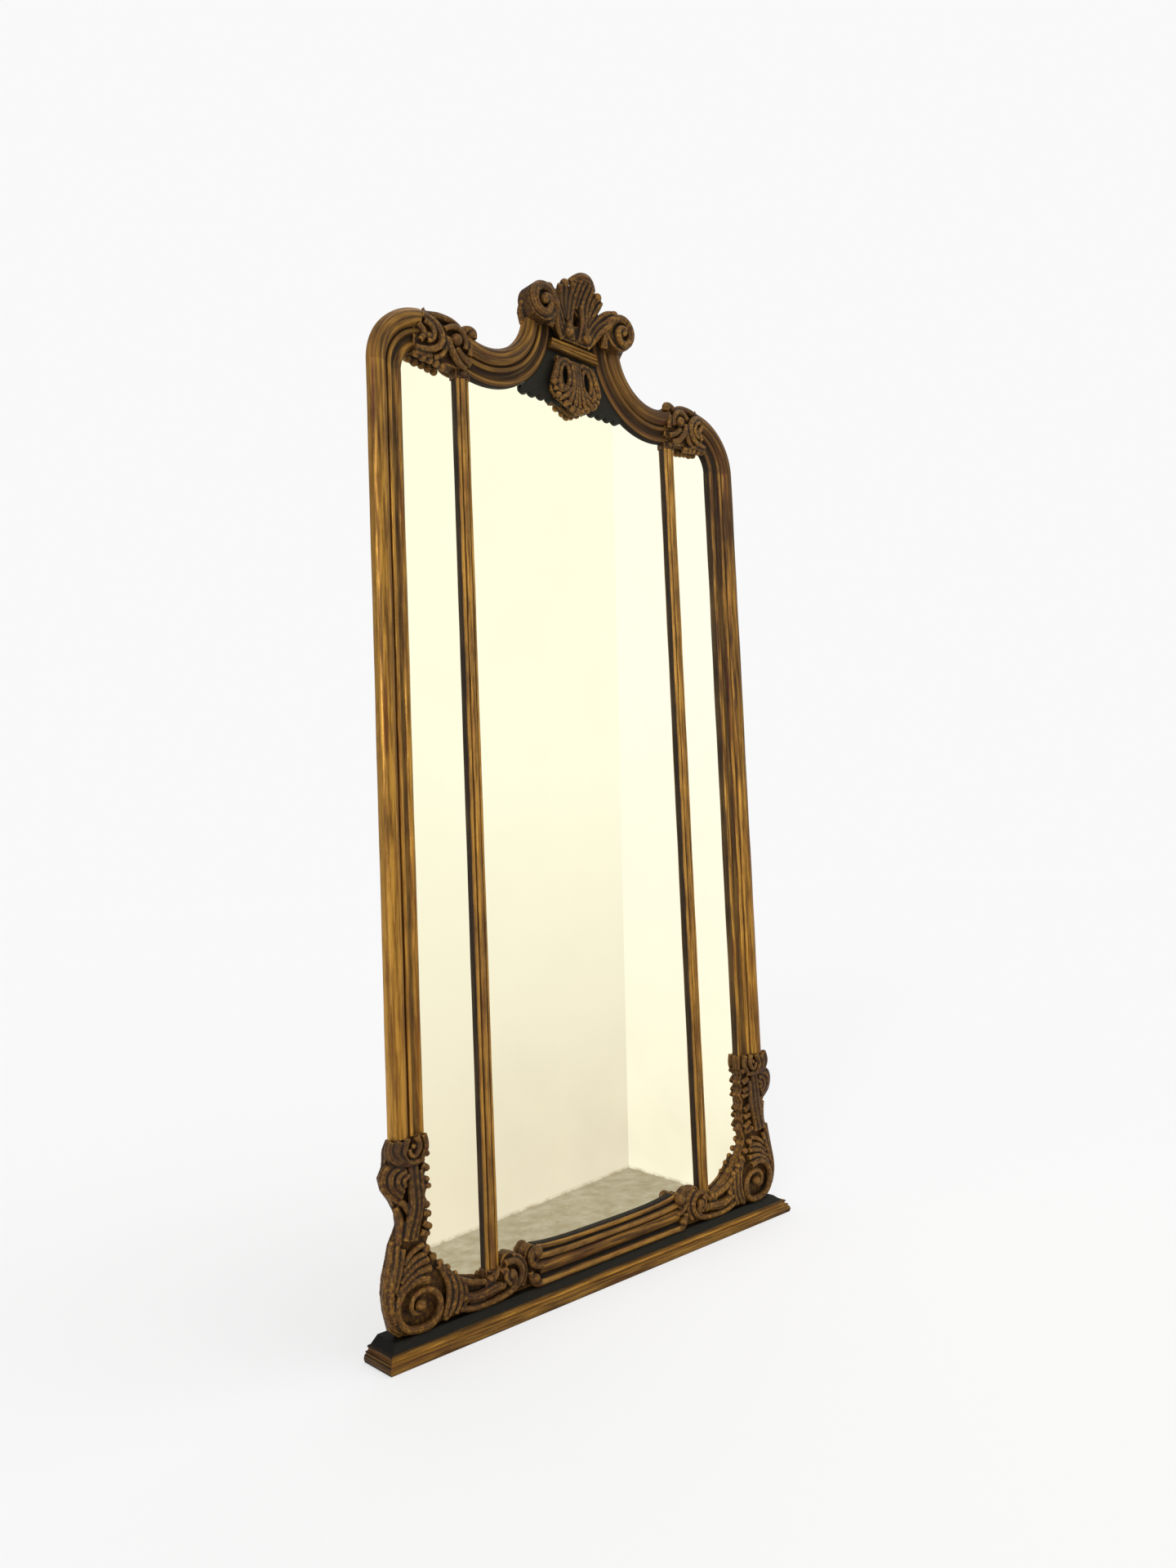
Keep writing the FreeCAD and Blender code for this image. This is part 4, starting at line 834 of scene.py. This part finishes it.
def lower_carving():
    side_edge = [
        (470, FLOOR), (486, 50), (494, 82), (497, 110), (494, 134), (486, 160), (481, 180), (472, 196),
        (466, 208), (468, 228), (478, 248), (492, 268), (497, 288), (488, 304), (486, 330), (478, LEAF_TOP)]
    outline = [(180, FLOOR)] + side_edge + [
        (410, LEAF_TOP),
        (408, 318), (412, 302), (406, 288), (412, 276), (404, 262), (412, 244), (406, 232), (412, 222),
                                            (405, 212),
        (410, 200), (404, 186), (412, 168), (396, 140), (380, 122), (362, 106), (340, 91), (316, 80),
                                            (293, BAR_FOOT),
        (261, BAR_FOOT), (260, 96), (252, 106), (240, 108), (226, 103), (214, 92), (206, 88), (203, 100),
                                            (194, 107),
        (182, 104)]
    middle_back = [(418.5, FLOOR)] + side_edge + [(418.5, LEAF_TOP)]
    back_edge = [
        (464, FLOOR), (470, 60), (476, 110), (470, 150), (464, 190), (456, 208), (456, 232), (464, 250),
                 (468, 280),
        (468, LEAF_TOP)]
    side_back = [(418.5, FLOOR)] + back_edge + [(418.5, LEAF_TOP)]
    strands, bosses = lower_strands()
    block = merged([
        slab(outline, 8.0, 17.7), slab(middle_back, 12.0, 20.0), slab(side_back, 18.0, CARCASS),
        slab([(180, FLOOR), (464, FLOOR), (464, 45.7), (180, 45.7)], 12.0, CARCASS),
        tubes(strands), balls(bosses)])
    carved = carve(block)
    pieces = [
        ("stile_leaf", [("z", VOLUTE_TOP, 1), ("z", LEAF_TOP + 3, -1)]),
        ("volute", [("z", VOLUTE_TOP, -1), ("x", SCROLL_START, 1), ("z", FLOOR, 1)]),
        ("foot_scroll", [("x", SCROLL_START, -1), ("x", RAIL_END, 1), ("z", VOLUTE_TOP, -1),
                         ("z", FLOOR, 1)]),
        ("rail_curl", [("x", RAIL_END, -1), ("z", FLOOR, 1)])]
    for kind, planes in pieces:
        both_sides(kind, "carved", cut_between(carved, planes), CARVED)


# ---------------------------------------------------------------- carved upper part

def clasps():
    strands = [
        [(367, 1738, -5, 5.5), (356, 1735, -6, 5.5), (349, 1726, -7, 5.5), (348, 1715, -7, 5.5),
         (353, 1704, -6, 5),
         (361, 1702, -5, 4.5)],
        [(372, 1748, -3, 6), (358, 1745, -5, 6.5), (345, 1739, -6, 7), (336, 1729, -7, 7),
         (331, 1717, -7, 7),
         (333, 1705, -7, 7), (341, 1695, -6, 6.5), (354, 1688, -5, 6), (371, 1685, -3, 6),
         (385, 1686, -1, 5)],
        [(321, 1722, -5, 5), (320, 1708, -5, 5), (325, 1693, -4, 5.5), (334, 1682, -2, 5),
         (346, 1677, 0, 5)],
        [(385, 1677, 1, 5), (367, 1678, 1, 5.5), (350, 1679, 1, 5)],
        [(374, 1750, 1, 6), (354, 1753, 0, 7), (337, 1757, 0, 7), (321, 1757, 0, 7), (303, 1755, -1, 7),
         (290, 1748, -2, 6)],
        [(325, 1734, -6, 5), (315, 1741, -7, 5.5), (302, 1744, -8, 6), (290, 1741, -8, 6),
         (282, 1733, -8, 6),
         (278, 1722, -7, 5.5), (280, 1710, -6, 5)],
        [(316, 1720, -7, 5), (316, 1708, -7, 6.5), (310, 1697, -7, 7), (301, 1685, -6, 7),
         (290, 1678, -4, 6),
         (278, 1676, -2, 5)],
        [(300, 1706, -7, 5), (292, 1698, -6, 6.5), (280, 1690, -5, 6.5), (268, 1686, -3, 6)],
        [(286, 1744, -3, 6), (277, 1750, -3, 7), (265, 1752, -3, 7.5), (256, 1748, -3, 7),
         (257, 1738, -3, 6)],
        [(270, 1730, -4, 6), (266, 1716, -4, 6), (268, 1702, -3, 5.5)],
        [(378, 1730, -1, 6), (368, 1722, -2, 6), (366, 1710, -2, 6), (376, 1700, -1, 6)],
    ]
    bosses = [(299, 1722, -6, 11), (262, 1746, -2, 9), (358, 1712, -5, 6), (381, 1677, 5, 7),
              (367, 1674, 5, 7.5),
              (352, 1673, 5, 7), (338, 1671, 5, 7.5), (325, 1669, 5, 7.5)]
    outline = [(261, 1686), (261, 1748), (276, 1752), (300, 1756), (330, 1758), (356, 1756), (371, 1753),
               (385, 1750),
               (385, 1680), (350, 1676), (320, 1676), (294, 1674)]
    tip = [(371, 1750), (363, 1766), (355, 1751)]
    back = [(261, 1700.5), (261, 1748), (276, 1752), (300, 1756), (330, 1758), (356, 1756), (385, 1750),
            (385, 1700.5)]
    block = merged([slab(outline, 4.0, 17.7), slab(tip, 1.0, 9.0), slab(back, 12.0, CARCASS),
                    tubes(strands),
                    balls(bosses)])
    both_sides("clasp", "carved", carve(block), CARVED)


def rolls():
    strands = [[(74, 1818, -8, 8), (72, 1838, -16, 9), (76, 1862, -24, 10), (90, 1878, -28, 10),
                (110, 1881, -30, 10),
                (126, 1870, -30, 10), (131, 1852, -30, 10), (124, 1834, -30, 9), (108, 1826, -30, 8.5),
                (94, 1833, -32, 7.5), (90, 1849, -34, 7), (99, 1860, -36, 6.5), (110, 1855, -38, 6.5)],
               [(137, 1850, -6, 6), (135, 1838, 6, 8), (130, 1825, 9, 7.5), (128, 1812, 11, 5)]]
    bm = bmesh.new()
    bmesh.ops.create_cone(bm, cap_ends=True, segments=64, radius1=36.5, radius2=36.5, depth=34.0,
                          matrix=Matrix.Translation((103, -9, 1853)) @ Matrix.Rotation(math.radians(90), 4,
                                  "X"))
    block = merged([mesh_from(bm), tubes(strands), balls([(106, 1852, -34, 9)])])
    both_sides("roll", "carved", carve(block, VOXEL, 6), CARVED)


def shell():
    """Leaf shell that fans up and curls forward at its head."""
    strands = [[(-29, 1914, -24, 9), (-17, 1925, -31, 11), (0, 1928, -34, 12), (17, 1925, -31, 11),
                (29, 1914, -24, 9)],
               [(0, 1878, -6, 5), (0, 1894, -12, 6.5), (0, 1912, -26, 7), (0, 1922, -36, 7)]]
    bosses = []
    for side in (-1, 1):
        def s(*points):
            return [(side * a, z, y, r) for a, z, y, r in points]
        strands += [
            s((8, 1812, -4, 4.5), (13, 1832, -6, 5), (17, 1852, -8, 5.5), (13, 1872, -9, 6),
              (11, 1894, -14, 7), (12, 1912, -27, 7), (12, 1921, -36, 7)),
            s((14, 1812, -3, 4.5), (24, 1850, -7, 5.5), (24, 1872, -9, 6), (23, 1894, -14, 7),
              (24, 1908, -25, 7), (25, 1914, -32, 6.5)),
            s((26, 1852, -5, 5), (32, 1872, -8, 6), (36, 1890, -13, 7.5), (40, 1904, -20, 8.5),
              (46, 1906, -26, 7)),
            s((30, 1850, -4, 5), (40, 1868, -7, 6), (48, 1884, -12, 7.5), (53, 1898, -19, 8),
              (55, 1904, -24, 6)),
            s((26, 1820, -2, 5), (36, 1846, -4, 5.5), (50, 1864, -8, 6.5), (66, 1880, -16, 8),
              (82, 1888, -22, 8), (92, 1886, -26, 6)),
            s((30, 1812, -1, 5), (42, 1836, -3, 6), (56, 1854, -8, 7), (72, 1866, -22, 8),
              (86, 1876, -30, 8), (95, 1880, -30, 7)),
            s((34, 1808, 0, 4.5), (48, 1824, -3, 6), (58, 1840, -10, 7), (66, 1852, -24, 6.5),
              (74, 1858, -34, 5)),
            s((24, 1820, -10, 9), (24, 1832, -10, 8.5), (21, 1844, -8, 6), (17, 1853, -6, 4)),
        ]
        bosses += [(side * 24, 1821, -10, 10.5), (side * 44, 1908, -24, 9.5), (side * 88, 1885, -26, 9)]
    left = [(-34, 1808), (0, 1808), (0, 1843), (-11, 1848), (-13, 1862), (0, 1877), (0, 1924), (-26, 1924),
            (-44, 1908), (-60, 1892), (-66, 1868), (-56, 1838)]
    right = [(-x, z) for x, z in reversed(left)]
    block = merged([slab([(x - 0.5 if x < 0 else 0.6, z) for x, z in left], -2.0, 12.0),
                    slab([(x + 0.5 if x > 0 else -0.6, z) for x, z in right], -2.0, 12.0), tubes(strands),
                    balls(bosses)])
    mesh = cut_between(carve(block, 1.3, 3), [("z", 1805.9, 1), ("y", 12.0, -1)])
    finish("crest_shell_carved", mesh, CARVED, ["crest_shell"])


def pendant():
    strands = []
    bosses = []
    for side in (-1, 1):
        def s(*points):
            return [(side * a, z, y, r) for a, z, y, r in points]
        eye = [(29 + 13.0 * math.cos(t), 1735 + 25 * math.sin(t) - 3 * math.cos(t), 1.0, 4.5)
               for t in (i * math.tau / 10 for i in range(10))]
        strands += [
            s(*(eye + eye[:1])),
            s((3, 1768, 1, 4.5), (2, 1740, -1, 4.5), (3, 1705, -1, 5), (6, 1678, 0, 5)),
            s((9, 1768, 2, 5), (8, 1745, 0, 5), (9, 1716, -1, 5.5), (16, 1692, -1, 5.5), (22, 1678, 0, 5)),
            s((14, 1712, 0, 5), (24, 1698, 0, 6), (35, 1690, 0, 6), (46, 1686, 1, 5)),
            s((18, 1769, 3, 5), (34, 1768, 2, 5.5), (48, 1758, 1, 6), (53, 1742, 0, 6.5), (57, 1728, 0, 7),
              (61, 1718, 1, 6)),
            s((44, 1728, 1, 5), (46, 1716, 0, 6.5), (45, 1706, 0, 6)),
            s((22, 1712, 1, 5), (34, 1704, 1, 5.5), (48, 1702, 1, 6), (60, 1704, 2, 5.5)),
        ]
        bosses += [(side * 59, 1716, 1, 7.5), (side * 45, 1708, 0, 7.5), (side * 12, 1673, 2, 7),
                   (side * 28, 1680, 2, 7),
                   (side * 48, 1692, 2, 7)]
    strands += [[(-50, 1766, 4, 6), (50, 1766, 4, 6)]]
    bosses += [(0, 1670, 2, 8)]
    back = [slab([(side * a, z) for a, z in (
        (4, 1768), (16, 1768), (14, 1752), (13, 1735), (18, 1716), (34, 1708), (46, 1714), (62, 1714),
                                             (64, 1700),
        (54, 1688), (34, 1680), (14, 1672), (4, 1668))], 5.0, 12.0) for side in (-1, 1)]
    block = merged(back + [slab([(-5, 1768), (5, 1768), (5, 1668), (-5, 1668)], 5.0, 12.0), tubes(strands),
                           balls(bosses)])
    mesh = cut_between(carve(block, 1.1, 2), [("y", 12.0, -1)])
    finish("pendant_carved", mesh, CARVED, ["pendant"])


# ---------------------------------------------------------------- pieces carried over from the frame

def dress_frame_nodes():
    """Gives the frame's own nodes that stay in view a finish."""
    finishes = {"glass": MIRROR, "backboard": PINE, "carcass": PINE, "crest_batten": PINE, "screws": STEEL,
                "plate": STEEL, "crest_panel": DARK, "plinth_board": DARK, "reeded_bar": BAND_GILT}
    for name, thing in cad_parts.items():
        chosen = next((m for key, m in finishes.items() if key in name), CARVED)
        for place in thing.material_slots:
            place.link = "OBJECT"
            place.material = chosen


main_moulding()
bottom_rail()
plinth_mouldings()
glazing_bars()
lower_carving()
clasps()
rolls()
shell()
pendant()
dress_frame_nodes()


# ---------------------------------------------------------------- stage, light and camera

def stage_plane(name, centre, along, up, material):
    """A flat four-cornered plane; along and up are its half sides as vectors."""
    bm = bmesh.new()
    bmesh.ops.create_grid(bm, x_segments=1, y_segments=1, size=1.0)
    mesh = mesh_from(bm)
    out = Vector(along).cross(Vector(up))
    matrix = Matrix((Vector(along), Vector(up), out)).transposed().to_4x4()
    matrix.translation = Vector(centre)
    mesh.transform(matrix)
    mesh.materials.append(material)
    thing = link(bpy.data.objects.new(name, mesh))
    return thing


def floor_material():
    """Pale floor that reads as the background where no shadow falls."""
    material, net, shader = new_material("studio floor")
    shader.inputs["Base Color"].default_value = (FLOOR_TONE, FLOOR_TONE, FLOOR_TONE, 1)
    shader.inputs["Roughness"].default_value = 1.0
    shader.inputs["Specular IOR Level"].default_value = 0.0
    shader.inputs["Emission Color"].default_value = (1, 1, 1, 1)
    lit = FLOOR_TONE * (SKY + sum(strength * aim.z for aim, strength, angle in SUNS) / math.pi)
    shader.inputs["Emission Strength"].default_value = BACKGROUND - lit
    return material


def glow_material(name, low, high, low_z, high_z, mottle=0.7):
    """A wall or floor that only shows in the mirror: its colour runs from low to high up the wall."""
    material, net, shader = new_material(name)
    where = net.node("ShaderNodeTexCoord").outputs["Object"]
    height = net.node("ShaderNodeSeparateXYZ")
    net.feed(where, height.inputs["Vector"])
    cloud = net.noise(where, 3.0, 3.0)
    share = net.spread(height.outputs["Z"], low_z, high_z)
    colour = net.mix(share, low, high)
    stain = net.math("MULTIPLY", net.spread(cloud, 0.4, 0.75),
                     net.spread(height.outputs["Z"], 0.5, 0.0, 0.0, 0.16))
    colour = net.mix(stain, colour, rgb(120, 110, 84))
    joint = net.spread(height.outputs["Z"], 0.009, 0.001)
    grit = net.spread(net.noise(where, 26.0, 6.0, 0.7), 0.38, 0.62)
    colour = net.mix(net.math("MULTIPLY", net.math("MULTIPLY", joint, grit), mottle), colour,
                     rgb(150, 132, 92))
    shader.inputs["Base Color"].default_value = (0, 0, 0, 1)
    shader.inputs["Specular IOR Level"].default_value = 0.0
    net.feed(colour, shader.inputs["Emission Color"])
    shader.inputs["Emission Strength"].default_value = 1.0
    return material


def mirrored_room():
    """Two walls and a strip of floor near the mirror: they show in it, light nothing and cast no shadow."""
    lean = Vector((0.0299, 0.0, 1.0))
    corner = Vector((0.530, -0.447, 0.0))
    first = Vector((-0.70, -0.284, 0.0))
    second = Vector((0.492, -0.02, 0.0))
    tall = 1.5
    wall_a = glow_material("left wall", (0.90, 0.82, 0.63, 1), (1.06, 1.05, 0.84, 1), 0.1, 1.0)
    wall_b = glow_material("right wall", (1.08, 1.03, 0.80, 1), (1.05, 1.06, 0.92, 1), 0.1, 1.2)
    ground = glow_material("mirrored floor", (0.56, 0.51, 0.36, 1), (0.56, 0.51, 0.36, 1), 0.0, 1.0, 0.5)
    walls = [
        stage_plane("wall_left", (first + corner) / 2 + lean * tall, (corner - first) / 2, lean * tall,
                    wall_a),
        stage_plane("wall_right", (second + corner) / 2 + lean * tall, (corner - second) / 2, lean * tall,
                    wall_b),
        stage_plane("wall_floor", (-0.1, -0.25, 0.0005), (0.75, 0, 0), (0, 0.25, 0), ground)]
    for wall in walls:
        wall.visible_camera = False
        wall.visible_diffuse = False
        wall.visible_transmission = False
        wall.visible_shadow = False


def world_light():
    world = bpy.data.worlds.new("studio")
    bpy.context.scene.world = world
    world.use_nodes = True
    net = Net(world.node_tree)
    back = world.node_tree.nodes["Background"]
    path = net.node("ShaderNodeLightPath")
    back.inputs["Color"].default_value = (1, 1, 1, 1)
    strength = net.math("ADD", SKY, net.math("MULTIPLY", path.outputs["Is Camera Ray"], BACKGROUND - SKY))
    strength = net.math("SUBTRACT", strength, net.math("MULTIPLY", path.outputs["Is Glossy Ray"],
            SKY - SKY_IN_GOLD))
    net.feed(strength, back.inputs["Strength"])


def sun_light(name, aim, strength, angle):
    """A soft sun; aim is the direction towards it."""
    data = bpy.data.lights.new(name, "SUN")
    data.energy = strength
    data.angle = math.radians(angle)
    thing = link(bpy.data.objects.new(name, data))
    thing.rotation_euler = (-Vector(aim)).to_track_quat("-Z", "Y").to_euler()
    return thing


def camera():
    """Photograph's view: 43.4 degrees from the left, slightly upward, rolled a little."""
    azimuth, elevation, roll = math.radians(43.418), math.radians(4.0825), math.radians(-2.3868)
    forward = Vector((math.sin(azimuth) * math.cos(elevation), math.cos(azimuth) * math.cos(elevation),
                      math.sin(elevation)))
    right = Vector((math.cos(azimuth), -math.sin(azimuth), 0.0))
    up = right.cross(forward)
    across = right * math.cos(roll) + up * math.sin(roll)
    upward = up * math.cos(roll) - right * math.sin(roll)
    data = bpy.data.cameras.new("camera")
    data.sensor_width = 36.0
    data.sensor_fit = "AUTO"
    data.lens = 1330.0 / 1920.0 * 36.0
    thing = link(bpy.data.objects.new("camera", data))
    matrix = Matrix((across, upward, -forward)).transposed().to_4x4()
    matrix.translation = Vector((-1.4506, -1.5183, 0.7776))
    thing.matrix_world = matrix
    bpy.context.scene.camera = thing


stage_plane("floor", (0, 0, 0), (30, 0, 0), (0, 30, 0), floor_material())
mirrored_room()
world_light()
for number, (aim, strength, angle) in enumerate(SUNS):
    sun_light("sun_%d" % number, aim, strength, angle)
camera()
bpy.context.scene.view_settings.view_transform = "Standard"
